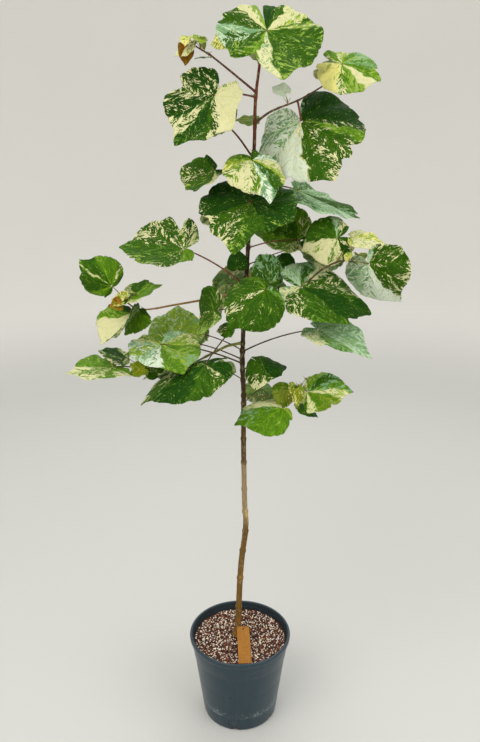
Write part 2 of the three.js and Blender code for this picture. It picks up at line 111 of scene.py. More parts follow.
def bell(off: Any, spread: float) -> Any:
    """A smooth bump, 1 high where the offset is nought and a little over a third high at the spread."""
    return np.exp(-((off / spread) ** 2))


def ring_turns(sides: int) -> np.ndarray:
    """The angles of a ring's points, in radians."""
    return np.linspace(0, FULL_TURN, sides, endpoint=False)


# Curves that the limbs follow, in millimetres
@dataclass(frozen=True)
class SmoothCurve:
    """A curve through its points."""

    points: np.ndarray

    def at(self, share: np.ndarray | float) -> np.ndarray:
        """Finds places on the curve.

        Args:
            share: How far along, from 0 to 1.

        Returns:
            One place for each share.
        """
        given = self.points
        last = len(given) - 1
        along = np.clip(np.asarray(share, float), 0, 1) * last
        first = np.minimum(np.floor(along).astype(int), last - 1)
        part = (along - first)[..., None]
        ends = np.vstack([2 * given[0] - given[1], given, 2 * given[-1] - given[-2]])
        a, b, c, d = (ends[first + i] for i in range(4))
        t0, t1 = (c - a) / 2, (d - b) / 2
        return b + t0 * part + (3 * (c - b) - 2 * t0 - t1) * part**2 + (2 * (b - c) + t0 + t1) * part**3

    def tangent(self, share: float) -> np.ndarray:
        """The direction of growth at a share."""
        return unit(self.at(min(share + 1e-4, 1)) - self.at(max(share - 1e-4, 0)))

    def length(self) -> float:
        """The curve's length."""
        return float(np.linalg.norm(np.diff(self.at(np.linspace(0, 1, 60)), axis=0), axis=1).sum())


@dataclass
class LimbPath:
    """A limb's centre line with its radius at each point, and its bark's colour, for all or for each."""

    points: np.ndarray
    radii: np.ndarray
    tint: np.ndarray | tuple[float, float, float, float]


def limb_path(curve: Callable, length: float, thick: float, thin: float, tint: str,
              swell: float = 0.25) -> LimbPath:
    """Samples a tapering limb, a little swollen at its root and at its tip.

    Args:
        curve: Gives places for shares.
        length: The limb's length.
        thick: The radius at the root.
        thin: The radius at the tip.
        tint: The bark's colour.
        swell: How much the ends are swollen.

    Returns:
        The limb's path.
    """
    share = np.linspace(0, 1, max(6, int(length / 4)))
    ends = np.exp(-share * length / 5) + np.exp(-(1 - share) * length / 4)
    radii = (thick + (thin - thick) * share) * (1 + swell * ends)
    return LimbPath(curve(share), radii, linear(tint))


# The plant as its solids have it
@dataclass
class Leaf:
    """One leaf as the solids place it, with the marks that its blade bears.

    Marks are words such as -30DC46: from that bearing on, a green tone, a pale tone, and how much
    of the blade is pale at the joint and at the margin, in ninths. Cuts are words such as -76:38:7:
    at that bearing the margin draws in by so many hundredths, over so many degrees to each side, or
    stands out where the number is below nought.
    """

    root: float
    joint: tuple[float, float, float]
    width: float
    faces: tuple[float, float]
    turn: float
    cup: float
    bend: float
    lobes: float
    marks: str = ""
    long: float = 1.0
    cuts: str = ""
    notch: float = 13.0
    phase: float = 0.0


@dataclass
class Bough:
    """A bough from the trunk, and the stem that goes on from its tip."""

    stem: Sequence[tuple[float, float, float]]
    tip: tuple[float, float]
    height: float = 0.0
    way: Sequence[tuple[float, float, float]] = ()
    radius: tuple[float, float] = (0.0, 0.0)
    bark: str = "7a6040"
    leaves: list[Leaf] = field(default_factory=list)


TRUNK_WAY = [
    (-6, 12, 220.3), (-6, 12, 236), (2, 7, 430), (15, 3, 555), (12, 0, 630), (9, 0, 790), (9, 0, 920),
    (6, 0, 1030), (16, 0, 1230), (24, 0, 1370), (32, 0, 1510), (34, 0, 1600), (43, 0, 1677),
]

# The trunk's bark by height
TRUNK_TONES = [
    (200, "7a5620"), (420, "725522"), (560, "6e5222"), (598, "9e8861"), (722, "9c8865"), (752, "5c4524"),
    (1000, "42321b"), (1300, "3a2619"), (1500, "552a1e"), (1677, "744028"),
]

# The heights of the old leaf scars on the bare trunk
SCARS = [310, 402, 486, 545, 604, 668, 742, 806, 858]

# Stalks are redder on the trunk above the first height, and on boughs above the second
RED_ON_TRUNK, RED_ON_BOUGHS = 1150, 1450

# The turn from one leaf to the next, and how near a limb a young leaf may stand
LEAF_ANGLE, YOUNG_LEAF_CLEARANCE = 137.5, 9

BOUGHS: dict[str, Bough] = {
    "top": Bough(
        stem=[(48, -2, 1694), (52, -8, 1712)], tip=(2.8, 1.4), bark="6a4a34",
        leaves=[
            Leaf(0.9, (56, -35, 1732), 222, (-80, 40), 4, 0.1, -0.1, 0.9,
                 "-180LG44 -166LC76 -144DC33 -112DG33 -96GP44 -76DP44 -58DL34 -40ML44 -24GC66 -4DL34 20DL33 "
                 "54DL33 86LC73 98DL34 106LC55 118LC76 142DC33 156KD11", 1.0, "-31:40:9 -47:-12:8", 2.5),
            Leaf(0.3, (-8, 30, 1742), 92, (-115, 40), -72, 0, 0.2, 0.8, "-180AY44 -60AY55 30AY44"),
            Leaf(0.5, (80, 45, 1722), 140, (75, 35), 10, 0, 0.3, 0.8, "-180MC56", 1.0, "0:42:55"),
        ],
    ),
    "upper_left": Bough(
        stem=[(-84, -10, 1700), (-98, -10, 1708)], tip=(1.9, 1.2), height=1616,
        way=[(-30, -5, 1665), (-65, -10, 1690)], radius=(2.6, 1.9), bark="6b4038",
        leaves=[
            Leaf(0.9, (-104, -12, 1712), 66, (-115, 50), -75, -0.2, 0.4, 0.5, "-180LC78 60AC66"),
            Leaf(1, (-114, -16, 1706), 44, (-60, 5), -5, 0.2, 0.1, 0.3, "-180OA22", 1.25, "80:25:40"),
            Leaf(0.5, (-88, -16, 1716), 34, (-85, 45), 135, 0.1, 0.2, 0.6, "-180LC33"),
            Leaf(0.1, (-66, -24, 1682), 46, (-90, 82), -80, 0, 0.1, 0.4, "-180DA44"),
        ],
    ),
    "upper_right": Bough(
        stem=[(130, -15, 1600), (185, -25, 1630), (205, -29, 1650)], tip=(2.1, 1.3), height=1553,
        way=[(62, -8, 1573), (84, -10, 1583)], radius=(2.8, 2.2), bark="5c4632",
        leaves=[
            Leaf(1, (216, -30, 1668), 132, (-98, 43), 70, -0.3, 0.2, 1.1,
                 "-180LC55 -164LY99 -94LY87 -78MC54 -62ML45 -46ML66 -30LC88 -10ML44 12MG44 44LG55 66MG45 90LC44 "
                 "130ML33 158LC55", 1.0, "8:10:14 112:12:18"),
            Leaf(0.3, (135, 0, 1557), 242, (-116, 35), 32, -0.45, 0.2, 0.95,
                 "-180GW55 -160GW65 -136GW55 -112GW45 -92GW66 -76GW55 -58CW67 -16DC22 -2DC24 10DC34 26DC33 "
                 "44ML54 58KC33 70KD11 150KG44 165GW44", 1.0, "-80:8:14 20:7:3 38:9:4 -2:10:5 -36:9:12", 20),
            Leaf(0.9, (206, 0, 1672), 52, (-90, 55), -140, 0, 0.2, 0.7, "-180ML33"),
            Leaf(0.8, (174, -22, 1648), 30, (-90, 30), -135, 0, 0.2, 0.5, "-180LC88"),
            Leaf(0.15, (98, -22, 1612), 52, (-90, 35), -130, 0.2, 0.2, 0.5, "-180PW78", 1.0,
                 "90:48:45 -90:36:45"),
        ],
    ),
    "behind_left": Bough(
        stem=[(-45, 42, 1575), (-60, 58, 1590)], tip=(1.8, 1.2), height=1478,
        way=[(0, 12, 1520), (-22, 24, 1545)], radius=(2.4, 1.9), bark="6b3f30",
        leaves=[Leaf(1, (-66, 66, 1592), 150, (115, 30), 20, -0.2, 0.3, 0.8, "", 1.0, "0:38:50 -70:15:25")],
    ),
    "mid_right": Bough(
        stem=[(140, -25, 1196), (190, -30, 1235), (230, -35, 1254), (262, -39, 1252)], tip=(2.7, 1.4),
        height=1172, way=[(42, -6, 1180), (68, -10, 1186)], radius=(3.4, 2.8), bark="4c3a2c",
        leaves=[
            Leaf(0.3, (140, -45, 1196), 198, (-72, 55), 68, -0.05, 0.15, 0.75,
                 "-180GC55 -156GC65 -132DC44 -104DC44 -80DM33 -34KD22 8DC33 36DC34 58GC56 76DG44 96GP55 "
                 "130GP55 156DG44", 1.25),
            Leaf(1, (294, -40, 1248), 156, (-123, -5), 28, -0.35, 0.6, 0.6,
                 "-180GP66 -146GW56 -108GW54 -72GP66 -48GW66 -26GW67 2DC33 22DC24 64DC33 90DC23 126DC34 "
                 "148GP55"),
            Leaf(0.55, (223, -15, 1304), 118, (-77, 22), -75, -0.15, 0.25, 0.9,
                 "-180DA33 -150DC55 -122GP55 -98DM33 -52DM22 -12LC77 4LC65 16LC88 44MC55 62LC66 88KM33 "
                 "120DC45 150DM22", 1.0, "95:14:20"),
            Leaf(0.7, (259, 0, 1305), 112, (-82, 70), 75, -0.05, 0.1, 0.25, "-180LY55 -90LC66 0LY55 40LC66",
                 1.0, "115:45:32 -75:20:12"),
            Leaf(0.08, (102, 22, 1231), 54, (-95, 0), 160, -0.25, 0.25, 0.35, "-180DG22 -60KD11 40DG22", 1.1),
        ],
    ),
    "mid_left": Bough(
        stem=[(-222, -30, 1141), (-246, -31, 1146), (-265, -34, 1160)], tip=(2, 1.3), height=1176,
        way=[(-20, 8, 1171), (-95, 22, 1154), (-165, 0, 1145), (-196, -20, 1142)], radius=(3, 2.1),
        bark="9c7440",
        leaves=[
            Leaf(1, (-295, -40, 1197), 106, (-74, -5), -130, -0.5, 0.25, 0.25,
                 "-180DM22 -104ML33 -86MC45 -76ML22 -24DM22 3MC64 11DM22 60ML33 110DM22", 1.2,
                 "98:38:28 -98:12:18"),
            Leaf(0.9, (-261, -30, 1166), 106, (-136, 65), 143, 0.2, -0.05, 0.25,
                 "-180ML33 -94LC55 -56ML33 34DM22 72MC44 100LC55 150ML33", 1.15),
            Leaf(0.7, (-255, -45, 1135), 160, (-150, 40), 8, 0.35, -0.15, 0.3,
                 "-180KD22 -128DM33 -92ML44 -62LC98 -14LC96 2DC92 20DC63 36DC44 60KM22", 1.0, "10:36:14"),
            Leaf(0.35, (-236, -35, 1141), 96, (-137, 35), -18, -0.3, 0.2, 0.35,
                 "-180DM22 -74GC55 -52MC44 -24MC44 -4MD22 60MD22 96DM22"),
            Leaf(1, (-268, -52, 1166), 48, (-100, 50), -105, 0.2, 0.2, 0.4, "-180AY55"),
            Leaf(1, (-274, -60, 1160), 34, (-70, 20), -80, 0.3, 0.2, 0.4, "-180OA44"),
        ],
    ),
    "low_left": Bough(
        stem=[(-110, 14, 1003), (-155, 10, 993), (-215, -15, 993), (-248, -25, 997)], tip=(2.6, 1.4),
        height=1054, way=[(-28, -5, 1048), (-52, -6, 1037), (-84, 4, 1018)], radius=(3.6, 2.7), bark="84883e",
        leaves=[
            Leaf(1, (-304, -35, 1003), 168, (-82, 85), -60, 0.05, -0.05, 0.35,
                 "-180ML33 -146LC34 -122MC33 -92ML33 -30MC57 -8MC35 22MC45 48ML33 66MC46 98ML22",
                 1.0, "-25:12:15"),
            Leaf(0.9, (-274, -5, 1017), 88, (-62, 76), -113, 0.05, -0.2, 0.25,
                 "-180MC44 -96MC55 -58KM22 -10DC33 30KC44 66DC54 96MC44", 1.15, "-88:40:12"),
            Leaf(0.25, (-148, 30, 981), 136, (-96, 85), -89, 0, 0.3, 0.85,
                 "-180DG44 -100ML44 -50MG44 0MC55 40DC44 90KM22 130KD11"),
            Leaf(0.8, (-226, -64, 1006), 52, (-95, 40), -70, 0, 0.2, 0.6, "-180AL33", 1.0, "75:38:45"),
            Leaf(0.6, (-196, -58, 996), 54, (-70, 25), -140, 0.2, 0.3, 0.5, "-180DM22 -30DC44 40DM22"),
        ],
    ),
    "low_right": Bough(
        stem=[(104, -34, 944), (126, -40, 955), (148, -45, 955)], tip=(2, 1.3), height=920,
        way=[(42, -10, 920), (74, -24, 926)], radius=(2.7, 2.1), bark="7c8440",
        leaves=[
            Leaf(1, (160, -55, 947), 120, (-130, 47), 117, -0.05, 0.3, 0.25,
                 "-180LC55 -128DM33 -94LC66 -70MA44 -20LC65 2MG44 24DG44 54ML44 92LC66 140LC55",
                 1.2, "108:38:32"),
            Leaf(0.4, (115, -45, 948), 66, (-57, 21), -40, -0.45, 0.3, 0.65, "-180MA55 -60LA66 20AY33 60MA55"),
            Leaf(0.8, (137, -70, 961), 55, (-39, 24), -13, -0.15, 0.3, 0.45,
                 "-180DA44 -90AY34 0AY44 60LA66", 1.1),
            Leaf(0.9, (145, -45, 916), 68, (-41, 64), 32, -0.15, 0.3, 0.55,
                 "-180MA44 -90DM22 -40KM22 6GC55 50LC55 80MA44", 1.15),
            Leaf(0.1, (102, -75, 913), 140, (-59, 70), -103, -0.4, 0.35, 0.35,
                 "-180MA44 -130LA55 -92LC56 -58LC75 -24MG34 2MG33 20ML22 66MD22 130LA33", 1.15, "108:34:28"),
        ],
    ),
    "back": Bough(
        stem=[(26, 112, 1172), (30, 150, 1178), (24, 176, 1186)], tip=(2.3, 1.4), height=1140,
        way=[(14, 40, 1158), (18, 78, 1168)], radius=(3, 2.4), bark="5a4632",
        leaves=[
            Leaf(1, (14, 196, 1192), 165, (95, 35), 12, -0.2, 0.3, 0.8),
            Leaf(0.5, (74, 150, 1186), 140, (40, 40), 20, -0.1, 0.3, 0.8),
            Leaf(0.3, (-34, 128, 1180), 140, (150, 38), -15, -0.2, 0.3, 0.8),
        ],
    ),
}

TRUNK_LEAVES: dict[str, Leaf] = {
    "high_left": Leaf(1606, (-55, -50, 1604), 188, (-115, 24), -27, 0.2, -0.15, 0.75,
                      "-180KC33 -164KC44 -150KC33 -122KC43 -104KC34 -84DC64 -70KC54 -56KC23 -26DC46 -4KM23 "
                      "22DC33 36KC45 52LC99 150MC66 168DC33", 1.0, "-77:22:8 130:8:25 94:12:18 66:-16:9", 16),
    "high_behind": Leaf(1545, (34, 26, 1561), 66, (-90, 66), -95, 0, 0, 0.5, "-180MA55"),
    "left": Leaf(1440, (-56, 0, 1452), 148, (-126, 52), -38, 0.3, 0.05, 0.25,
                 "-180KM22 -96DM22 -60DC33 -34DC34 -10DL34 14DL33 40DM33 62LC66 82DC33 120KD11", 1.0,
                 "-88:18:25 5:25:22"),
    "front_high": Leaf(1492, (26, -70, 1472), 138, (-75, 52), 13, -0.3, 0.3, 0.65,
                       "-180DL33 -150ML44 -118LA44 -104LY55 -88MC55 -66LC66 -40MC56 -24MC44 -8GW55 10DG44 26DG33 "
                       "42LY44 62LC56 90GW55 134DM22", 1.05),
    "front_broad": Leaf(1398, (24, -55, 1387), 218, (-98, 52), -10, 0.05, 0.15, 0.9,
                        "-180KD11 -150KD22 -100KD22 -78KC12 -60KC02 -44DC04 -28DC24 -14DC35 -4DL34 6DM33 34KL23 "
                        "66KD33 94KM23 130KD11", 0.95, "-42:14:9 22:19:12 42:12:12", 16),
    "right_drooping": Leaf(1420, (136, 45, 1410), 186, (-35, 60), 29, 0, -0.05, 0.35,
                           "-180MG55 -96DG45 -62GP34 -24GP45 -6DG34 8DG33 30GP44 70DG35 92MG55", 1.3,
                           "48:12:20 0:7:7"),
    "right_dark": Leaf(1280, (138, 45, 1295), 142, (-88, 45), -102, 0.5, 0.1, 0.65,
                       "-180DC33 -150MC44 -120MC33 -74DM33 -8ML33 14MC34 34MC35 66MC55 92DC66 130DC33 156DC44",
                       0.9, "112:35:18"),
    "long_stalk": Leaf(1032, (182, -30, 1094), 172, (-77, 77), 52, 0.1, 0.25, 0.45,
                       "-180GP34 -120GC46 -62MG54 -26GP35 6GP34 48MG55 72GP33 104MG55 138GP34", 1.15),
    "front_low": Leaf(1148, (57, -118, 1202), 138, (-79, 44), -54, -0.55, 0.45, 0.45,
                      "-180DL33 -132MD33 -92DL33 -58DM33 -28DC53 -6DM22 22DC22 40DL22 124MG34 150DG44", 1.15,
                      "92:8:15 -120:10:18"),
    "front_grey": Leaf(1160, (67, -42, 1204), 88, (-60, 0), 173, -0.2, 0.35, 0.25,
                       "-180DG33 -90DG44 0DG45 50DG33 74DM22", 1.3, "0:18:13"),
    "front_dark": Leaf(1206, (-7, -20, 1236), 54, (-114, 0), 184, -0.15, 0.25, 0.35,
                       "-180KD11 0KC23 12KD11", 1.15),
    "side_left": Leaf(1132, (-60, -58, 1142), 118, (-140, 26), -69, 0.35, 0.35, 0.7,
                      "-180DM22 -146DC44 -120DM33 -60DM22 -14DC44 -4DL25 60DL26 108MC44 150DM22"),
    "side_small": Leaf(1090, (-21, -75, 1109), 51, (-109, 54), -74, -0.3, 0.25, 0.5, "-180DM33 -20DC44 40DM22"),
    "fan_left": Leaf(1192, (-128, -30, 1281), 188, (-94, 58), -93, 0.25, 0, 0.45,
                     "-180MC44 -156MC55 -134DC44 -108KC33 -86MC65 -74DC33 -60DC63 -52DC34 -44DC63 -36DC24 -8DM33 "
                     "20DL34 56DC33 92ML43", 1.15, "-76:38:6 112:20:28 -96:4:5 -57:5:4 -37:4:4"),
    "low_pale": Leaf(1012, (-167, 20, 1058), 152, (-106, 30), 185, -0.25, 0.25, 0.25,
                     "-180LM33 -120LG34 -88LC34 -62LG34 -36LP33 -4LP44 22LP33 52LG44 84LC24 130LM33", 0.9,
                     "110:26:28"),
    "low_glaucous": Leaf(1002, (-187, -40, 1060), 172, (-68, 68), 10, 0.05, 0, 0.75,
                         "-180LC44 -150LC55 -122GP55 -96LW44 -66GP55 -48GW55 -36GW68 -24ML33 6LG44 34ML44 62LC34 "
                         "92LC45 108GP44 150MC33"),
    "low_broad": Leaf(1116, (-80, -92, 1024), 176, (-123, 79), -47, -0.45, 0.35, 0.95,
                      "-180KM22 -130KD22 -92DG33 -62DC34 -44DC34 -20DC33 14KM22 60DM22 98DC53 120KM22", 1.3),
    "low_right": Leaf(985, (52, -50, 1014), 105, (-99, 61), 59, -0.6, 0.1, 0.85,
                      "-180DM22 -112DC04 -84DC06 -40DC04 -24KD11 120DM22", 0.9,
                      "0:13:14 -32:10:24 96:14:34", 0.7),
    "back_high_right": Leaf(1430, (88, 134, 1500), 120, (20, 25), 10, -0.2, 0.3, 0.8),
    "back_left": Leaf(1350, (-46, 80, 1368), 124, (125, 35), 10, -0.2, 0.3, 0.8, "", 1.0, "0:38:50"),
    "back_right": Leaf(1320, (76, 110, 1352), 112, (85, 30), -10, -0.1, 0.3, 0.8),
    "back_mid_right": Leaf(1240, (205, 90, 1280), 120, (55, 40), 15, -0.2, 0.3, 0.8),
    "back_low_left": Leaf(1035, (-140, 104, 1060), 140, (125, 40), 0, -0.2, 0.3, 0.8),
    "back_under": Leaf(960, (-66, 58, 978), 112, (110, 45), -10, -0.2, 0.3, 0.8),
    "back_low_right": Leaf(900, (56, 72, 916), 104, (70, 40), 10, -0.2, 0.3, 0.8),
}

# Trunk leaves that stand near each other share a piece
LEAF_GROUPS: dict[str, tuple[str, ...]] = {
    "blades_crown_front": ("high_left", "high_behind", "left", "front_high", "front_broad"),
    "blades_crown_right": ("right_drooping", "right_dark", "back_high_right", "back_right", "back_mid_right"),
    "blades_middle": ("front_low", "front_grey", "front_dark", "side_left", "side_small", "fan_left",
                      "back_left"),
    "blades_lower_left": ("low_pale", "low_glaucous", "low_broad", "back_low_left", "back_under"),
    "blades_lower_right": ("long_stalk", "low_right", "back_low_right"),
}


# Node graphs
class Wire:
    """A value's socket, on which arithmetic adds Math nodes."""

    def __init__(self, graph: "Graph", socket: bpy.types.NodeSocket) -> None:
        """Wraps a socket of the graph."""
        self.graph = graph
        self.socket = socket

    def _math(self, operation: str, *operands: Any) -> "Wire":
        """The outcome of one Math node on these operands."""
        made = self.graph.node("ShaderNodeMath", {"operation": operation}, dict(enumerate(operands)))
        return Wire(self.graph, made.outputs[0])

    def __add__(self, other: Any) -> "Wire":
        """Sum."""
        return self._math("ADD", self, other)

    def __sub__(self, other: Any) -> "Wire":
        """Difference."""
        return self._math("SUBTRACT", self, other)

    def __rsub__(self, other: Any) -> "Wire":
        """Difference, the other way round."""
        return self._math("SUBTRACT", other, self)

    def __mul__(self, other: Any) -> "Wire":
        """Product."""
        return self._math("MULTIPLY", self, other)

    def __abs__(self) -> "Wire":
        """Size without sign."""
        return self._math("ABSOLUTE", self)

    __radd__ = __add__
    __rmul__ = __mul__

    def fraction(self) -> "Wire":
        """The part after the point."""
        return self._math("FRACT", self)

    def root(self) -> "Wire":
        """Square root."""
        return self._math("SQRT", self)

    def step(self, low: float, high: float) -> "Wire":
        """Rises smoothly from 0 at low to 1 at high."""
        made = self.graph.node("ShaderNodeMapRange", {"interpolation_type": "SMOOTHSTEP"},
                               {"Value": self, "From Min": low, "From Max": high})
        return Wire(self.graph, made.outputs[0])


class Graph:
    """A node tree to which every node is added in one way."""

    def __init__(self, tree: bpy.types.NodeTree) -> None:
        """Wraps a tree and empties it."""
        self.tree = tree
        tree.nodes.clear()

    def node(self, kind: str, settings: dict[str, Any] | None = None,
             sockets: dict[Any, Any] | None = None) -> bpy.types.Node:
        """Adds one node.

        Args:
            kind: The node's type.
            settings: Its settings, set first; stops is a ramp's list of (place, colour).
            sockets: Values or links by input name or number.

        Returns:
            The node.
        """
        made = self.tree.nodes.new(kind)
        for name, value in (settings or {}).items():
            if name != "stops":
                setattr(made, name, value)
                continue
            ramp = made.color_ramp.elements
            while len(ramp) < len(value):
                ramp.new(1.0)
            for element, (place, colour) in zip(ramp, value):
                element.position, element.color = place, colour
        for key, value in (sockets or {}).items():
            value = value.socket if isinstance(value, Wire) else value
            if isinstance(value, bpy.types.NodeSocket):
                self.tree.links.new(value, made.inputs[key])
            elif value is not None:
                made.inputs[key].default_value = value
        return made


class Shade(Graph):
    """A material's nodes, with the patterns that the finishes share."""

    def __init__(self, name: str) -> None:
        """Starts a material of that name."""
        self.material = bpy.data.materials.new(name)
        self.material.use_nodes = True
        super().__init__(self.material.node_tree)
        self.place = self.node("ShaderNodeTexCoord").outputs["Object"]

    def stretched(self, scale: tuple[float, float, float]) -> bpy.types.NodeSocket:
        """The Object coordinates, drawn out along the axes."""
        return self.node("ShaderNodeMapping", None, {"Vector": self.place, "Scale": scale}).outputs[0]

    def axes(self) -> list[Wire]:
        """The Object coordinates, one by one."""
        split = self.node("ShaderNodeSeparateXYZ", None, {0: self.place}).outputs
        return [Wire(self, split[axis]) for axis in "XYZ"]

    def noise(self, vector: Any, scale: float, detail: float = 3.0, rough: float = 0.5) -> Wire:
        """A cloudy pattern from 0 to 1."""
        made = self.node("ShaderNodeTexNoise", None,
                         {"Vector": vector, "Scale": scale, "Detail": detail, "Roughness": rough})
        return Wire(self, made.outputs["Fac"])

    def cells(self, vector: Any, scale: float) -> Wire:
        """A pattern of cells, each with its own level from 0 to 1."""
        made = self.node("ShaderNodeTexVoronoi", None, {"Vector": vector, "Scale": scale})
        return Wire(self, self.node("ShaderNodeSeparateColor", None, {0: made.outputs["Color"]}).outputs[0])

    def cell_edges(self, vector: Any, scale: float) -> Wire:
        """The distance from the edges of a pattern of cells."""
        made = self.node("ShaderNodeTexVoronoi", {"feature": "DISTANCE_TO_EDGE"},
                         {"Vector": vector, "Scale": scale})
        return Wire(self, made.outputs["Distance"])

    def mix(self, factor: Any, first: Any, second: Any, blend: str = "MIX") -> bpy.types.NodeSocket:
        """Two colours mixed."""
        made = self.node("ShaderNodeMix", {"data_type": "RGBA", "blend_type": blend},
                         {0: factor, 6: first, 7: second})
        return made.outputs[2]

    def attribute(self, name: str) -> bpy.types.Node:
        """The node that reads an attribute of the mesh."""
        return self.node("ShaderNodeAttribute", {"attribute_name": name})

    def value(self, name: str) -> Wire:
        """A number from the mesh."""
        return Wire(self, self.attribute(name).outputs["Fac"])

    def finish(self, colour: Any, roughness: Any, relief: Any = None, depth: float = 0.001,
               **fixed: Any) -> bpy.types.Material:
        """Ends the material in one shader.

        Args:
            colour: The base colour or its socket.
            roughness: The roughness or its socket.
            relief: The height for a bump, or none.
            depth: How deep the bump is, in metres.
            fixed: Other sockets of the shader that are the same all over.

        Returns:
            The material.
        """
        sockets = {"Base Color": colour, "Roughness": roughness}
        if relief is not None:
            bump = self.node("ShaderNodeBump", None, {"Distance": depth, "Height": relief})
            sockets["Normal"] = bump.outputs[0]
        sockets.update({name.replace("_", " "): value for name, value in fixed.items()})
        shader = self.node("ShaderNodeBsdfPrincipled", None, sockets)
        self.node("ShaderNodeOutputMaterial", None, {"Surface": shader.outputs[0]})
        return self.material


# Finishes
@dataclass(frozen=True)
class LeafFinish:
    """The face of a blade: two tones dealt in cells that run out along the veins."""

    name: str
    roughness: float = 0.46
    under: bool = False
    shadow: tuple[float, ...] = (0.6, 0.66, 0.5, 1)
    shine: tuple[float, ...] = (1.5, 1.34, 1.1, 1)
    vein: tuple[float, ...] = (2.2, 1.7, 1.3, 1)
    rib: tuple[float, ...] = (1.5, 1.3, 1.1, 1)
    fleck: str = "a9b856"
    mottled_pale: str = "b9c487"
    vein_in_pale: str = "a4ad62"
    haze: str = "7f9862"

    def build(self) -> bpy.types.Material:
        """Makes the material."""
        shade = Shade(self.name)
        streak = shade.node("ShaderNodeUVMap", {"uv_map": "streak"}).outputs[0]
        warp = shade.node("ShaderNodeTexNoise", None, {"Vector": streak, "Scale": 1.4, "Detail": 3.0})
        bent = shade.node("ShaderNodeVectorMath", {"operation": "MULTIPLY_ADD"},
                          {0: warp.outputs["Color"], 1: (0.9, 0.5, 0), 2: streak}).outputs[0]
        broad, middling, small = (shade.cells(bent, scale) for scale in (0.8, 2.0, 5.0))
        rank = 0.36 * broad + 0.36 * middling + 0.28 * small
        pale = (shade.value("share") - rank).step(-0.015, 0.015)
        mottle = 0.5 * shade.cells(bent, 1.2) + 0.5 * shade.cells(bent, 3.6)
        green = shade.attribute("green").outputs["Color"]
        green = shade.mix(0.75 - mottle.step(0.34, 0.4) * 0.4, green, self.shadow, "MULTIPLY")
        green = shade.mix(mottle.step(0.66, 0.7), green, self.shine, "MULTIPLY")
        flecks = shade.cells(bent, 6.0).step(0.93, 0.96) * mottle.step(0.45, 0.6)
        green = shade.mix(flecks * 0.5, green, linear(self.fleck))
        cream = shade.attribute("pale").outputs["Color"]
        cream = shade.mix(mottle.step(0.58, 0.64) * 0.3, cream, linear(self.mottled_pale))
        vein, rib = shade.value("vein"), shade.value("rib")
        line = abs(rib.fraction() - 0.5).step(0.465, 0.5)
        green = shade.mix(vein, green, self.vein, "MULTIPLY")
        green = shade.mix(line * 0.5, green, self.rib, "MULTIPLY")
        colour = shade.mix(pale, green, cream)
        colour = shade.mix(vein * pale * 0.3, colour, linear(self.vein_in_pale))
        grain = shade.cell_edges(streak, 9.0).step(0.0, 0.12)
        if self.under:
            colour = shade.mix(0.4, colour, linear(self.haze))
        relief = grain * 0.3 - line * 0.5 + shade.noise(shade.place, 240) * 0.3
        gloss = self.roughness + 0.16 * shade.noise(shade.place, 60) + pale * 0.06
        return shade.finish(colour, gloss, relief, 0.0005, Specular_IOR_Level=0.08)


@dataclass(frozen=True)
class BarkFinish:
    """Bark whose colour comes from the limb's own tint and changes with height, with painted shade in its dark
    fibres and painted highlight on its pale patches.
    """

    name: str
    roughness: float = 0.7
    # How strong the dark fibres are, together with their painted shade.
    streak: float = 0.5
    dark_fibre_and_shade: tuple[float, ...] = (0.3, 0.27, 0.24, 1)
    worn: tuple[float, ...] = (2.1, 2.0, 1.8, 1)
    pore: str = "a89a72"

    def build(self) -> bpy.types.Material:
        """Makes the material."""
        shade = Shade(self.name)
        tint = shade.attribute("tint").outputs["Color"]
        fibre = shade.noise(shade.stretched((1, 1, 0.12)), 420, 5, 0.65)
        patch = shade.noise(shade.stretched((1, 1, 0.3)), 70, 4, 0.6)
        # Dark fibres: partly the bark's own streaks, partly painted shade in its grooves.
        colour = shade.mix(fibre.step(0.38, 0.7) * self.streak, tint, self.dark_fibre_and_shade, "MULTIPLY")
        # Pale patches: partly paler bark, partly painted highlight standing in for its lit side.
        colour = shade.mix(patch.step(0.5, 0.7) * 0.7, colour, self.worn, "MULTIPLY")
        pores = shade.cells(shade.stretched((1, 1, 0.45)), 300)
        colour = shade.mix(pores.step(0.86, 0.9) * 0.4, colour, linear(self.pore))
        relief = fibre * 0.8 + patch * 0.3
        return shade.finish(colour, self.roughness + 0.15 * patch, relief, 0.0008, Specular_IOR_Level=0.3)


@dataclass(frozen=True)
class PotFinish:
    """Moulded dark plastic: fine grain, faint drag marks, a rougher inside darkened with painted shade, and
    specks of dust near the foot.
    """

    colour: str = "1a323d"
    scuff: str = "27434f"
    dull: str = "0b1416"
    dust: str = "9aa19f"
    taper: float = 0.1333
    inside: float = 0.0995

    def build(self) -> bpy.types.Material:
        """Makes the material."""
        shade = Shade("pot_plastic")
        x, y, height = shade.axes()
        wall = (x * x + y * y).root() - height * self.taper
        inner = 1 - wall.step(self.inside - 0.0004, self.inside + 0.0004)
        grain = shade.noise(shade.place, 900, 2)
        drag = shade.noise(shade.stretched((1, 1, 0.06)), 60, 4)
        clouds = shade.noise(shade.place, 18, 4)
        splash = shade.noise(shade.place, 260, 3, 0.6)
        ring = height.step(0.03, 0.045) * (1 - height.step(0.05, 0.075))
        dusty = (splash * 0.62 + ring * 0.14 + clouds * 0.3).step(0.62, 0.68) * 0.5
        colour = shade.mix(drag.step(0.4, 0.8) * 0.35, linear(self.colour), linear(self.scuff))
        colour = shade.mix(dusty, colour, linear(self.dust))
        # Painted shade: the inside wall is darkened as if shade fell into the pot.
        colour = shade.mix(inner * 0.6, colour, linear(self.dull))
        gloss = 0.2 + 0.14 * clouds + 0.3 * dusty + 0.06 * drag + 0.35 * inner
        return shade.finish(colour, gloss, grain * 0.4 + splash * 0.2, 0.0002, Specular_IOR_Level=0.5)


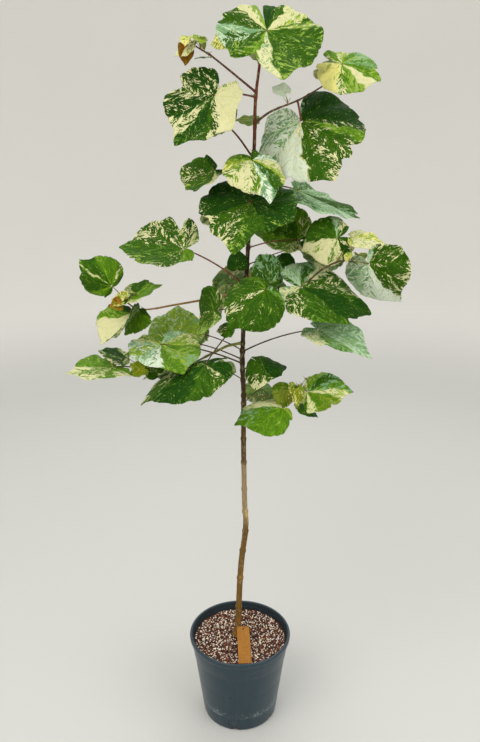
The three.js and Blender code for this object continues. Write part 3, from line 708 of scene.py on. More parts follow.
@dataclass(frozen=True)
class MixFinish:
    """A finish of the potting mix: soil, bark chips or perlite, dealt between two colours."""

    name: str
    dark: str
    light: str
    scale: float
    roughness: float = 0.9

    def build(self) -> bpy.types.Material:
        """Makes the material."""
        shade = Shade(self.name)
        tone = shade.cells(shade.place, self.scale)
        grain = shade.noise(shade.place, 1400, 4, 0.65)
        colour = shade.mix(tone, linear(self.dark), linear(self.light))
        colour = shade.mix(grain.step(0.5, 0.8) * 0.4, colour, linear(self.dark))
        return shade.finish(colour, self.roughness, grain, 0.0008)


@dataclass(frozen=True)
class CardFinish:
    """Bare kraft card with its fibres and flecks, darker towards its lower end."""

    colour: str = "a8722f"
    fibre: str = "7e501f"
    fleck: str = "d0a468"
    wet: str = "5d4128"

    def build(self) -> bpy.types.Material:
        """Makes the material."""
        shade = Shade("kraft_card")
        fibres = 0.5 * shade.noise(shade.stretched((1, 1, 0.1)), 900, 4, 0.7)
        fibres = fibres + 0.5 * shade.noise(shade.stretched((1, 1, 0.05)), 300, 3, 0.6)
        flecks = shade.cells(shade.place, 800)
        stain = shade.noise(shade.place, 40, 3)
        height = shade.axes()[2]
        # Darker towards the card's lower end.
        lower_darkening = (1 - (height - 0.02 * stain).step(0.14, 0.172)) * 0.45
        colour = shade.mix(fibres.step(0.4, 0.62) * 0.6, linear(self.colour), linear(self.fibre))
        colour = shade.mix(flecks.step(0.9, 0.95) * 0.3, colour, linear(self.fleck))
        colour = shade.mix(lower_darkening, colour, linear(self.wet))
        return shade.finish(colour, 0.85, fibres + stain * 0.3, 0.0002, Specular_IOR_Level=0.2)


@dataclass(frozen=True)
class StudioFinish:
    """Pale seamless floor, a little paler where it turns up into the backdrop, as painted light that makes up for
    the lamps' weaker light there.
    """

    floor: str = "c6c6c2"
    backdrop: str = "e9e7e1"
    cloud: str = "cdc9c1"

    def build(self) -> bpy.types.Material:
        """Makes the material."""
        shade = Shade("studio_floor")
        cloud = shade.noise(shade.place, 0.9, 2)
        height = shade.axes()[2]
        # Painted light: the backdrop is paler than the floor to make up for the lamps' falloff.
        colour = shade.mix(height.step(-0.16, 0.36), linear(self.floor), linear(self.backdrop))
        colour = shade.mix(cloud * 0.2, colour, linear(self.cloud))
        return shade.finish(colour, 0.9, cloud, 0.001, Specular_IOR_Level=0.2)


# Meshes
def linked(name: str, data: Any) -> bpy.types.Object:
    """Makes an object and links it to the scene.

    Args:
        name: The object's name.
        data: Its mesh, lamp or camera.

    Returns:
        The object.
    """
    made = bpy.data.objects.new(name, data)
    bpy.context.scene.collection.objects.link(made)
    return made


def mesh_piece(name: str, points: np.ndarray, faces: Any, materials: Sequence[bpy.types.Material],
               smooth: bool = True) -> bpy.types.Object:
    """Makes one object at the origin from points in millimetres.

    Args:
        name: The piece's name.
        points: Its vertices.
        faces: Its faces, as rows of vertex numbers.
        materials: Its finishes.
        smooth: Whether its shading is smooth.

    Returns:
        The object, linked to the scene.
    """
    mesh = bpy.data.meshes.new(name)
    mesh.from_pydata((np.asarray(points) * MM).tolist(), [], [list(map(int, f)) for f in faces])
    for material in materials:
        mesh.materials.append(material)
    if smooth:
        mesh.shade_smooth()
    return linked(name, mesh)


def evaluated(piece: bpy.types.Object) -> None:
    """Turns a piece and its live modifiers into one plain mesh."""
    graph = bpy.context.evaluated_depsgraph_get()
    graph.update()
    plain = bpy.data.meshes.new_from_object(piece.evaluated_get(graph))
    piece.modifiers.clear()
    piece.data = plain


def cut_away(piece: bpy.types.Object, cutter: bpy.types.Object) -> None:
    """Cuts one piece out of another and deletes it.

    Args:
        piece: The piece that is cut.
        cutter: The piece that is taken away.
    """
    cut = piece.modifiers.new(cutter.name, "BOOLEAN")
    cut.operation, cut.object, cut.solver = "DIFFERENCE", cutter, "EXACT"
    evaluated(piece)
    bpy.data.objects.remove(cutter)


def declare(piece: bpy.types.Object, slot: str, *nodes: str) -> bpy.types.Object:
    """Puts a finished piece on the body, in the place of its solids.

    Args:
        piece: The finished piece.
        slot: Not used.
        nodes: The solids that it replaces.

    Returns:
        The piece.
    """
    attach(piece, "root")
    if nodes:
        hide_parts(*nodes)
    log.info("%s: %d faces", piece.name, len(piece.data.polygons))
    return piece


def ring_faces(rings: int, sides: int) -> list[list[int]]:
    """The faces between closed rings of points that follow one another.

    Args:
        rings: How many rings there are.
        sides: How many points each ring has.

    Returns:
        The faces, ring by ring.
    """
    pairs = [(i * sides + j, i * sides + (j + 1) % sides) for i in range(rings - 1) for j in range(sides)]
    return [[here, beside, beside + sides, here + sides] for here, beside in pairs]


def prism_faces(sides: int, first: int = 0) -> list[list[int]]:
    """The faces of a closed prism between two rings of points.

    Args:
        sides: How many points each ring has.
        first: The number of the first point.

    Returns:
        The walls, then the two ends.
    """
    ends = [list(range(sides))[::-1], list(range(sides, 2 * sides))]
    return [[first + k for k in face] for face in [*ring_faces(2, sides), *ends]]


def closed_turn(outline: Sequence[tuple[float, float]], sides: int,
                lift: Callable[[np.ndarray, np.ndarray, np.ndarray], np.ndarray] | None = None
                ) -> tuple[np.ndarray, list[list[int]]]:
    """Turns an outline that starts and ends on the axis into a closed form.

    Args:
        outline: Radius and height from the foot's middle, outside and over, back to the axis.
        sides: How many sides the turn has.
        lift: Gives new heights for x, y and z, or none.

    Returns:
        Points and faces.
    """
    middle = np.array(outline[1:-1])
    x, y = (np.outer(middle[:, 0], wave(ring_turns(sides))) for wave in (np.cos, np.sin))
    z = np.repeat(middle[:, 1:2], sides, axis=1)
    if lift is not None:
        z = lift(x, y, z)
    rings = len(middle)
    ends = [[0, 0, outline[0][1]], [0, 0, outline[-1][1]]]
    points = np.vstack([np.stack([x, y, z], -1).reshape(-1, 3), ends])
    faces = ring_faces(rings, sides)
    low, high = rings * sides, rings * sides + 1
    for j in range(sides):
        k = (j + 1) % sides
        faces += [[low, k, j], [high, (rings - 1) * sides + j, (rings - 1) * sides + k]]
    return points, faces


def rounded(outline: Sequence[tuple[float, float]], radius: float, steps: int = 4) -> list[tuple[float, float]]:
    """Rounds the inner corners of an outline.

    Args:
        outline: Its corners.
        radius: How far from a corner the round begins.
        steps: How many steps a round has.

    Returns:
        The new outline.
    """
    corners = np.array(outline, float)
    made = [tuple(corners[0])]
    for before, here, after in zip(corners, corners[1:], corners[2:]):
        reach = [min(radius, 0.45 * np.linalg.norm(end - here)) for end in (before, after)]
        a, b = here + unit(before - here) * reach[0], here + unit(after - here) * reach[1]
        for t in np.linspace(0, 1, steps):
            made.append(tuple((1 - t) ** 2 * a + 2 * t * (1 - t) * here + t**2 * b))
    return [*made, tuple(corners[-1])]


# Geometry node trees
class TreeBuilder(Graph):
    """A geometry node tree with named inputs, which ends in real faces with one finish."""

    SOCKETS = {float: "NodeSocketFloat", int: "NodeSocketInt", bpy.types.Material: "NodeSocketMaterial"}

    def __init__(self, name: str, inputs: dict[str, type]) -> None:
        """Starts the tree.

        Args:
            name: The tree's name.
            inputs: The type of each named input.
        """
        super().__init__(bpy.data.node_groups.new(name, "GeometryNodeTree"))
        face = self.tree.interface
        face.new_socket("Geometry", in_out="OUTPUT", socket_type="NodeSocketGeometry")
        face.new_socket("Geometry", in_out="INPUT", socket_type="NodeSocketGeometry")
        for label, kind in inputs.items():
            face.new_socket(label, in_out="INPUT", socket_type=self.SOCKETS[kind])
        self.given = self.node("NodeGroupInput").outputs

    def end(self, geometry: bpy.types.NodeSocket) -> None:
        """Realizes the instances and gives all faces the finish."""
        real = self.node("GeometryNodeRealizeInstances", None, {0: geometry}).outputs[0]
        done = self.node("GeometryNodeSetMaterial", None, {"Geometry": real, "Material": self.given["Finish"]})
        self.node("NodeGroupOutput", None, {0: done.outputs[0]})

    def apply(self, piece: bpy.types.Object, **values: Any) -> None:
        """Runs the tree on a piece and keeps the result as a plain mesh.

        Args:
            piece: The piece.
            values: The inputs by name, with an underline for each space.
        """
        modifier = piece.modifiers.new(self.tree.name, "NODES")
        modifier.node_group = self.tree
        items = self.tree.interface.items_tree
        sockets = {item.name: item.identifier for item in items if item.in_out == "INPUT"}
        for label, value in values.items():
            modifier[sockets[label.replace("_", " ")]] = value
        evaluated(piece)


def limb_tree() -> TreeBuilder:
    """Builds the tree that skins centre lines with ridged bark."""
    tree = TreeBuilder("limb_skin", {"Sides": int, "Ridge Depth": float, "Ridge Scale": float,
                                     "Finish": bpy.types.Material})
    given = tree.given
    line = tree.node("GeometryNodeMeshToCurve", None, {0: given["Geometry"]}).outputs[0]
    radius = tree.node("GeometryNodeInputNamedAttribute", {"data_type": "FLOAT"},
                       {"Name": "thickness"}).outputs[0]
    line = tree.node("GeometryNodeSetCurveRadius", None, {"Curve": line, "Radius": radius}).outputs[0]
    ring = tree.node("GeometryNodeCurvePrimitiveCircle", None, {"Resolution": given["Sides"], "Radius": 1.0})
    skin = tree.node("GeometryNodeCurveToMesh", None, {"Curve": line, "Profile Curve": ring.outputs[0],
                                                       "Fill Caps": True})
    if "Scale" in skin.inputs:
        tree.tree.links.new(radius, skin.inputs["Scale"])
    place = tree.node("GeometryNodeInputPosition").outputs[0]
    drawn = tree.node("ShaderNodeVectorMath", {"operation": "MULTIPLY"}, {0: place, 1: (1, 1, 0.1)}).outputs[0]
    noise = tree.node("ShaderNodeTexNoise", None,
                      {"Vector": drawn, "Scale": given["Ridge Scale"], "Detail": 3.0})
    ridge = (Wire(tree, noise.outputs[0]) - 0.5) * Wire(tree, given["Ridge Depth"])
    normal = tree.node("GeometryNodeInputNormal").outputs[0]
    push = tree.node("ShaderNodeVectorMath", {"operation": "SCALE"}, {0: normal, "Scale": ridge}).outputs[0]
    moved = tree.node("GeometryNodeSetPosition", None, {"Geometry": skin.outputs[0], "Offset": push}).outputs[0]
    moved = tree.node("GeometryNodeSetShadeSmooth", None, {"Geometry": moved}).outputs[0]
    tree.end(moved)
    return tree


def scatter_tree() -> TreeBuilder:
    """Builds the tree that scatters angular grains over a surface."""
    tree = TreeBuilder("scattered_grains", {"Density": float, "Seed": int, "Length": float, "Flatness": float,
                                            "Roughen": float, "Finish": bpy.types.Material})
    given = tree.given
    spread = tree.node("GeometryNodeDistributePointsOnFaces", None,
                       {"Mesh": given["Geometry"], "Density": given["Density"], "Seed": given["Seed"]})
    ball = tree.node("GeometryNodeMeshIcoSphere", None, {"Radius": 0.5, "Subdivisions": 1}).outputs[0]
    spots = tree.node("FunctionNodeRandomValue", {"data_type": "FLOAT_VECTOR"},
                      {0: (-1, -1, -1), 1: (1, 1, 1), "Seed": given["Seed"]}).outputs[0]
    bump = tree.node("ShaderNodeVectorMath", {"operation": "SCALE"},
                     {0: spots, "Scale": given["Roughen"]}).outputs[0]
    ball = tree.node("GeometryNodeSetPosition", None, {"Geometry": ball, "Offset": bump}).outputs[0]
    flat = tree.node("ShaderNodeCombineXYZ", None, {0: 1.0, 1: 0.62, 2: given["Flatness"]}).outputs[0]
    ball = tree.node("GeometryNodeTransform", None, {"Geometry": ball, "Scale": flat}).outputs[0]
    turn = tree.node("FunctionNodeRandomValue", {"data_type": "FLOAT_VECTOR"},
                     {0: (0, 0, 0), 1: (6.3, 6.3, 6.3), "Seed": given["Seed"]}).outputs[0]
    size = tree.node("FunctionNodeRandomValue", {"data_type": "FLOAT"},
                     {2: 0.35, 3: 1.0, "Seed": given["Seed"]})
    scale = Wire(tree, size.outputs[1]) * Wire(tree, given["Length"])
    grains = tree.node("GeometryNodeInstanceOnPoints", None,
                       {"Points": spread.outputs[0], "Instance": ball, "Rotation": turn, "Scale": scale})
    tree.end(grains.outputs[0])
    return tree


def line_piece(name: str, paths: Sequence[LimbPath]) -> bpy.types.Object:
    """Makes an object of bare centre lines that carry their thickness and tint.

    Args:
        name: The piece's name.
        paths: The limbs.

    Returns:
        The object.
    """
    points = np.vstack([path.points for path in paths]) * MM
    starts = np.cumsum([0] + [len(path.points) for path in paths])
    edges = [(int(i), int(i) + 1) for a, b in zip(starts, starts[1:]) for i in range(a, b - 1)]
    mesh = bpy.data.meshes.new(name)
    mesh.from_pydata(points.tolist(), edges, [])
    thickness = mesh.attributes.new("thickness", "FLOAT", "POINT")
    thickness.data.foreach_set("value", np.concatenate([path.radii for path in paths]) * MM)
    tint = mesh.attributes.new("tint", "FLOAT_COLOR", "POINT")
    tints = [np.broadcast_to(path.tint, (len(path.points), 4)) for path in paths]
    tint.data.foreach_set("color", np.vstack(tints).ravel())
    return linked(name, mesh)


# The trunk and its limbs
@dataclass
class Trunk:
    """The trunk, with a flared foot and a swelling where each limb or leaf leaves it."""

    foot: float = 8.6
    tip: float = 2.9
    taper: float = 0.9
    flare: float = 0.7
    flare_height: float = 16.0
    swelling: float = 0.2
    waist: float = 0.06
    spacing: float = 2.2
    buried: tuple[tuple[float, float], ...] = ((9.0, 1.25), (5.0, 1.16), (2.0, 1.06))

    def __post_init__(self) -> None:
        """Lays the centre line."""
        self.curve = SmoothCurve(np.array(TRUNK_WAY, float))
        self.line = self.curve.at(np.linspace(0, 1, 241))

    def at(self, height: float) -> np.ndarray:
        """The centre line's place at a height."""
        return np.array([np.interp(height, self.line[:, 2], self.line[:, i]) for i in range(3)])

    def radius(self, share: np.ndarray, heights: np.ndarray) -> np.ndarray:
        """The radius along the trunk, before any swelling."""
        flare = 1 + self.flare * np.exp(-(heights - TRUNK_WAY[0][2]) / self.flare_height)
        return (self.tip + (self.foot - self.tip) * (1 - share) ** self.taper) * flare

    def path(self, nodes: Sequence[float]) -> LimbPath:
        """Gives the trunk's path with its swollen nodes.

        Args:
            nodes: The heights at which limbs, leaves and old leaf scars sit.

        Returns:
            The path.
        """
        share = np.linspace(0, 1, int(self.curve.length() / self.spacing))
        points = self.curve.at(share)
        radii = self.radius(share, points[:, 2])
        points = np.vstack([*[points[:1] - np.array([[0, 0, depth]]) for depth, _ in self.buried], points])
        radii = np.concatenate([radii[0] * np.array([wider for _, wider in self.buried]), radii])
        for height in nodes:
            off = points[:, 2] - height
            radii = radii * (1 + self.swelling * bell(off, 5) - self.waist * bell(off - 9, 4))
        return LimbPath(points, radii, self.tints(points[:, 2]))

    @staticmethod
    def tints(heights: np.ndarray) -> np.ndarray:
        """The bark's colour at each height."""
        colours = np.array([linear(code) for _, code in TRUNK_TONES])
        return np.stack([np.interp(heights, [z for z, _ in TRUNK_TONES], colours[:, i]) for i in range(4)], -1)


class Plant:
    """The hibiscus: grows the limbs by the solids' rule, then the stalks, buds and blades on them."""

    def __init__(self) -> None:
        """Grows the plant's lines and leaves."""
        self.trunk = Trunk()
        self.limbs: list[SmoothCurve] = [self.trunk.curve]
        self.boughs: dict[str, LimbPath] = {}
        self.stems: list[LimbPath] = []
        self.stalks: list[LimbPath] = []
        self.buds: list[LimbPath] = []
        self.blades: dict[str, list[Leaf]] = {}
        for index, (place, bough) in enumerate(BOUGHS.items()):
            self._grow_bough(place, bough, Seeded(31 + index))
        for place, leaf in TRUNK_LEAVES.items():
            leaf.phase = Seeded(leaf.width + leaf.root)() * FULL_TURN
            root = self.trunk.at(leaf.root)
            self._grow_stalk(leaf, root, "6e3a2a" if leaf.root > RED_ON_TRUNK else "4a3622")
            self._grow_bud(root, np.array(leaf.joint) - root)
            self.blades[place] = [leaf]

    def _grow_bough(self, place: str, bough: Bough, random: Seeded) -> None:
        """Grows one bough with its stem, its leaves and the young pair at its tip.

        Args:
            place: The bough's name.
            bough: Its sizes.
            random: Its own run of numbers.
        """
        start = self.trunk.curve.at(1.0)
        if bough.way:
            curve = SmoothCurve(np.array([self.trunk.at(bough.height), *bough.way], float))
            self.boughs[place] = limb_path(curve.at, curve.length(), *bough.radius, bough.bark, 0.3)
            self.limbs.append(curve)
            start = curve.at(1.0)
        stem = SmoothCurve(np.array([start, *bough.stem], float))
        path = limb_path(stem.at, stem.length(), *bough.tip, bough.bark)
        for leaf in bough.leaves:
            off = np.linalg.norm(path.points - stem.at(leaf.root), axis=1)
            path.radii = path.radii * (1 + 0.3 * bell(off, 3.5))
        self.stems.append(path)
        leaves = [*bough.leaves, *self._young_pair(stem, random)]
        for leaf in leaves:
            leaf.phase = random() * FULL_TURN
            root = stem.at(leaf.root)
            self._grow_stalk(leaf, root, "78402e" if bough.height > RED_ON_BOUGHS else "6f6a35")
            self._grow_bud(root, np.array(leaf.joint) - root)
        self._grow_tip(stem)
        self.blades[f"foliage_{place}"] = leaves

    def _young_pair(self, stem: SmoothCurve, random: Seeded) -> list[Leaf]:
        """The young leaves at a stem's tip, left out where a limb is too near.

        Args:
            stem: The stem's centre line.
            random: The bough's run of numbers.

        Returns:
            The young leaves.
        """
        tip, heading = stem.at(1.0), stem.tangent(1.0)
        first = math.degrees(math.atan2(heading[1], heading[0]))
        young, marks = [], "-180LY55 -40AY66 40LY55"
        for i in range(2):
            bearing = first + LEAF_ANGLE * (i + 0.5) + 40 * (random() - 0.5)
            rise = math.radians(random.between(20, 65))
            stalk, width = random.between(14, 26), random.between(22, 34)
            joint = tip + level(bearing) * stalk * math.cos(rise) + np.array([0, 0, stalk * math.sin(rise)])
            near = [np.linalg.norm(limb.at(np.linspace(0, 1, 25)) - joint, axis=1).min() for limb in self.limbs]
            if min(near) >= YOUNG_LEAF_CLEARANCE:
                young.append(Leaf(0.95, tuple(joint), width, (bearing, 50), 0, 0.4, 0.2, 0.6, marks))
        return young

    def _grow_stalk(self, leaf: Leaf, root: np.ndarray, tint: str) -> None:
        """Grows the arched stalk of a leaf.

        Args:
            leaf: The leaf.
            root: Where its stalk starts.
            tint: The stalk's colour.
        """
        joint = np.array(leaf.joint, float)
        middle = (root + joint) / 2 + np.array([0, 0, 0.1 * np.linalg.norm(joint - root)])

        def arch(share: np.ndarray) -> np.ndarray:
            """Places on the stalk."""
            t = share[:, None]
            return (1 - t) ** 2 * root + 2 * t * (1 - t) * middle + t**2 * joint

        thick = min(max(leaf.width * 0.0115, 0.9), 2.2)
        length = float(np.linalg.norm(joint - root)) * 1.02
        self.stalks.append(limb_path(arch, length, thick, max(leaf.width * 0.008, 0.5), tint, 0.3))

    def _grow_bud(self, root: np.ndarray, way: np.ndarray) -> None:
        """Grows the bud in a leaf's angle and the two thin stipules beside it.

        Args:
            root: The place on the limb.
            way: The direction that the stalk takes.
        """
        out = unit(way)
        side = unit(np.cross(out, [0, 0, 1.0]))
        for lean, length, thick in ((0, 7, 1.5), (1, 9, 0.8), (-1, 8, 0.8)):
            aim = out * 0.7 + np.array([0, 0, 0.9]) + side * 0.9 * lean
            share = np.linspace(0, 1, 7)
            line = root + out * 1.5 + aim * (share * length)[:, None] + side * lean * 2 * (share**2)[:, None]
            radii = thick * np.sqrt(np.maximum(1 - share, 0.004)) * (0.75 + 0.6 * share)
            self.buds.append(LimbPath(line, radii, linear("8f9650" if lean else "7a6a3a")))

    def _grow_tip(self, stem: SmoothCurve) -> None:
        """Grows the pointed bud at a stem's tip, wrapped in three scales."""
        tip, heading = stem.at(1.0), stem.tangent(1.0)
        side = unit(np.cross(heading, [0.3, 0.2, 1.0]))
        other = np.cross(heading, side)
        share = np.linspace(0, 1, 9)
        for turn in (0.0, 2.1, 4.2):
            lean = side * math.cos(turn) + other * math.sin(turn)
            line = tip + heading * (share * 13)[:, None] + lean * (1.2 * np.sin(share * 2.6))[:, None]
            radii = 1.5 * np.sqrt(np.maximum(1 - share, 0.003)) * (0.7 + 0.5 * share)
            self.buds.append(LimbPath(line, radii, linear("9aa456")))

    def build(self) -> None:
        skin = limb_tree()
        heights = [bough.height for bough in BOUGHS.values() if bough.height]
        heights += [leaf.root for leaf in TRUNK_LEAVES.values()]
        trunk = line_piece("trunk_bark", [self.trunk.path(heights + SCARS)])
        bark = BarkFinish("trunk_bark").build()
        skin.apply(trunk, Sides=28, Ridge_Depth=0.0011, Ridge_Scale=330.0, Finish=bark)
        declare(trunk, "bark", "trunk")
        boughs = line_piece("bough_bark", list(self.boughs.values()))
        skin.apply(boughs, Sides=20, Ridge_Depth=0.0006, Ridge_Scale=420.0,
                   Finish=BarkFinish("bough_bark", 0.62, 0.4).build())
        declare(boughs, "twig", *[f"bough_{place}" for place in self.boughs])
        for name, paths, sides in (("stems", self.stems, 16), ("leaf_stalks", self.stalks, 12),
                                   ("buds_and_stipules", self.buds, 9)):
            piece = line_piece(name, paths)
            skin.apply(piece, Sides=sides, Ridge_Depth=0.0002, Ridge_Scale=600.0,
                       Finish=BarkFinish(name, 0.5, 0.25).build())
            declare(piece, "twig")


# Blades: over which width, how many columns from vein to vein, how many rings
BLADE_GRIDS = ((120, 14, 20), (60, 11, 14), (0, 6, 8))

# The corners of a grid's face, by row and column
QUAD = ((0, 0), (1, 0), (1, 1), (0, 1))


@dataclass
class BladeMaker:
    """Makes blades: one closed sheet each, with veins, quilted ribs, a scalloped margin and its marks.

    Sizes in pairs are in millimetres: what every blade has, and what is added on one of full width.
    """

    full_width: float = 200.0
    vein_width: tuple[float, float] = (0.5, 1.1)
    rib_gap: tuple[float, float] = (5.0, 11.0)
    valley: tuple[float, float] = (3.0, 9.0)
    quilting: float = 0.9
    rib_slant: float = 1.15
    body: float = 0.49
    forward: float = 0.11
    drip: float = 0.12
    drip_spread: float = 9.5
    drip_power: float = 1.6
    core: float = 0.03
    crowding: float = 0.85
    gather: float = 0.55
    sinus: float = 0.33
    waves: int = 5
    wave_height: float = 0.016
    ruffle: float = 0.012
    vault: float = 0.035
    scallop: float = 0.018
    nicks: int = 6
    thickness: float = 0.55
    veins: tuple[float, ...] = (-146, -108, -68, -32, 0, 32, 68, 108, 146)

    def outline(self, bearing: np.ndarray, notch: float) -> np.ndarray:
        """The outline's radius at bearings in radians, for a blade of width 1.

        Args:
            bearing: The bearings.
            notch: Half the width, in degrees, of the notch at the joint.

        Returns:
            The radii.
        """
        off = np.abs(np.degrees(bearing))
        drip = self.drip * np.exp(-((off / self.drip_spread) ** self.drip_power))
        return self.body + self.forward * np.cos(bearing) + drip - self.sinus * bell(180 - off, notch)

    def bearings(self, per_gap: int) -> np.ndarray:
        """Bearings that stand closer together beside the veins.

        Args:
            per_gap: How many there are from one vein to the next.

        Returns:
            Bearings in degrees, from -180 up.
        """
        stops = [-180, *self.veins, 180]
        made: list[float] = []
        for low, high in zip(stops, stops[1:]):
            share = np.linspace(0, 1, per_gap, endpoint=False)
            share = share - self.gather * np.sin(FULL_TURN * share) / FULL_TURN
            made += list(low + (high - low) * share)
        return np.array(made)

    @staticmethod
    def axes(leaf: Leaf) -> tuple[np.ndarray, np.ndarray, np.ndarray]:
        """The blade's directions: its side, its tip and its face."""
        flat, rise, turn = level(leaf.faces[0]), math.radians(leaf.faces[1]), math.radians(leaf.turn)
        face = flat * math.cos(rise) + np.array([0, 0, math.sin(rise)])
        downhill = flat * math.sin(rise) - np.array([0, 0, math.cos(rise)])
        tip = downhill * math.cos(turn) + np.cross(face, downhill) * math.sin(turn)
        return np.cross(face, tip), tip, face

    @staticmethod
    def dealt_marks(random: Seeded) -> str:
        """Deals the marks of a leaf that has none of its own.

        Args:
            random: The leaf's run of numbers.

        Returns:
            The marks.
        """
        words, bearing = [], -180.0
        while bearing < 170:
            green = "KDDMMLG"[int(random() * 7)]
            pale = "CCGPYMC"[int(random() * 7)]
            share = int(random() * 4) + (4 if random() < 0.3 else 1)
            words.append(f"{int(bearing)}{green}{pale}{min(share, 9)}{min(share + int(random() * 3), 9)}")
            bearing += random.between(18, 52)
        return " ".join(words)

    def colours(self, leaf: Leaf, degrees: np.ndarray, reach: np.ndarray) -> dict[str, np.ndarray]:
        """Deals a leaf's tones over its blade.

        Args:
            leaf: The leaf.
            degrees: The bearings of the blade's points.
            reach: How far out they are, from 0 to 1.

        Returns:
            The green tone, the pale tone and the pale share at each point.
        """
        words = leaf.marks or self.dealt_marks(Seeded(leaf.width * 7 + leaf.joint[2]))
        marks = re.findall(r"(-?\d+)([A-Z])([A-Z])(\d)(\d)", words)
        starts = np.array([float(mark[0]) for mark in marks])
        wobble = 3.0 * np.sin(reach * 9 + leaf.phase) + 2.0 * np.sin(reach * 23 + 2 * leaf.phase)
        at = np.clip(np.searchsorted(starts, degrees + wobble, side="right") - 1, 0, None)
        greens, pales = (np.array([linear(Tone[mark[k]].value) for mark in marks])[at] for k in (1, 2))
        near, far = (((np.array([float(mark[k]) for mark in marks]) / 9) ** 1.15)[at] for k in (3, 4))
        return {"green": greens, "pale": pales, "share": near + (far - near) * reach + 0.13 * reach**14}

    def blade(self, leaf: Leaf) -> dict[str, np.ndarray]:
        """Shapes one blade as a grid: columns by bearing, rows out over its upper face and back under it.

        Args:
            leaf: The leaf.

        Returns:
            Points, marks and pattern coordinates, with one column more than the blade for its seam.
        """
        per_gap, rings = next(tuple(grid) for over, *grid in BLADE_GRIDS if leaf.width > over)
        degrees, phase = self.bearings(per_gap), leaf.phase
        out = self.core + (1 - self.core) * np.linspace(0, 1, rings + 1) ** self.crowding
        rows = np.concatenate([out, out[::-1]])
        under = np.arange(len(rows))[:, None] > rings
        reach = np.repeat(rows[:, None], len(degrees), axis=1)
        angle = np.radians(np.repeat(degrees[None, :], len(rows), axis=0))
        radius = self.outline(angle, leaf.notch) * reach * self.margin(leaf, angle, reach)
        across, forward = radius * np.sin(angle), radius * np.cos(angle)
        along = forward * np.where(forward < 0, leaf.lobes, leaf.long)
        off = angle - np.radians(self.nearest(degrees))[None, :]
        run, gap = radius * np.cos(off) * leaf.width, np.abs(radius * np.sin(off)) * leaf.width
        vein, rib, quilt = self.relief(leaf, reach, run, gap)
        ruffle = np.sin(11 * angle + 3 * phase) * (1 + 0.6 * np.sin(3 * angle + phase))
        wave = self.wave_height * reach**3 * np.sin(self.waves * angle + phase)
        wave = wave + self.ruffle * reach**5 * ruffle
        height = 2 * leaf.cup * across**2 - 1.4 * leaf.bend * np.maximum(along, 0) ** 2 + wave
        sunk = vein * leaf.width / self.full_width
        sheet = np.where(under, -self.thickness / 2 - sunk, self.thickness / 2 - 0.6 * sunk)
        height = height * leaf.width + quilt + sheet
        side, tip, face = self.axes(leaf)
        points = np.array(leaf.joint) + (across * leaf.width)[..., None] * side \
            + (along * leaf.width)[..., None] * tip + height[..., None] * face
        return {"points": points, "vein": vein, "rib": rib, "streak": self.streaks(leaf, degrees, radius),
                **self.colours(leaf, np.degrees(angle), reach)}

    def relief(self, leaf: Leaf, reach: np.ndarray, run: np.ndarray, gap: np.ndarray) -> tuple[np.ndarray, ...]:
        """Raises the blade between its veins and side ribs.

        Args:
            leaf: The leaf.
            reach: How far out the points are, from 0 to 1.
            run: How far along the nearest vein they are, in millimetres.
            gap: How far beside it they are, in millimetres.

        Returns:
            How much of a vein each point is, the count of side ribs up to it, and its height.
        """
        size = leaf.width / self.full_width
        pairs = (self.vein_width, self.rib_gap, self.valley)
        vein_width, rib_gap, valley = (least + size * added for least, added in pairs)
        vein = bell(gap, vein_width * (1 - 0.6 * reach)) * (1 - 0.8 * reach)
        rib = (run - self.rib_slant * gap) / rib_gap
        inside = np.clip((1 - reach) * 6, 0, 1)
        quilt = self.quilting * size * np.sin(math.pi * rib) ** 2 * np.clip(gap / 8, 0, 1) * inside
        vault = self.vault * leaf.width * reach * (1.25 - reach) * (1 - bell(gap, valley))
        return vein, rib, quilt + vault

    def nearest(self, degrees: np.ndarray) -> np.ndarray:
        """The bearing of the vein that is nearest to each bearing."""
        veins = np.array(self.veins)
        return veins[np.abs(degrees[:, None] - veins[None, :]).argmin(axis=1)]

    def margin(self, leaf: Leaf, angle: np.ndarray, reach: np.ndarray) -> np.ndarray:
        """How a leaf's own outline departs from the common one: its cuts, its unevenness and its scallops.

        Args:
            leaf: The leaf.
            angle: The bearings of the blade's points, in radians.
            reach: How far out they are.

        Returns:
            A factor for the radius.
        """
        degrees, phase = np.degrees(angle), leaf.phase
        cut = np.zeros_like(angle)
        for bearing, depth, spread in re.findall(r"(-?\d+):(-?\d+):(\d+)", leaf.cuts):
            cut += int(depth) / 100 * bell(degrees - int(bearing), int(spread))
        random = Seeded(leaf.width * 3 + leaf.joint[2])
        for _ in range(self.nicks):
            bearing, depth, spread = (random.between(*span) for span in ((-165, 165), (0.02, 0.08), (1.5, 4)))
            cut += depth * bell(degrees - bearing, spread)
        uneven = 0.016 * np.sin(4 * angle + phase) + 0.013 * np.sin(7 * angle + 2.3 * phase)
        teeth = np.sqrt(np.abs(np.sin(16 * angle + phase))) - 0.75 + 0.3 * np.sin(37 * angle - phase)
        return 1 - cut * reach**1.5 + uneven * reach + self.scallop * teeth * reach**8

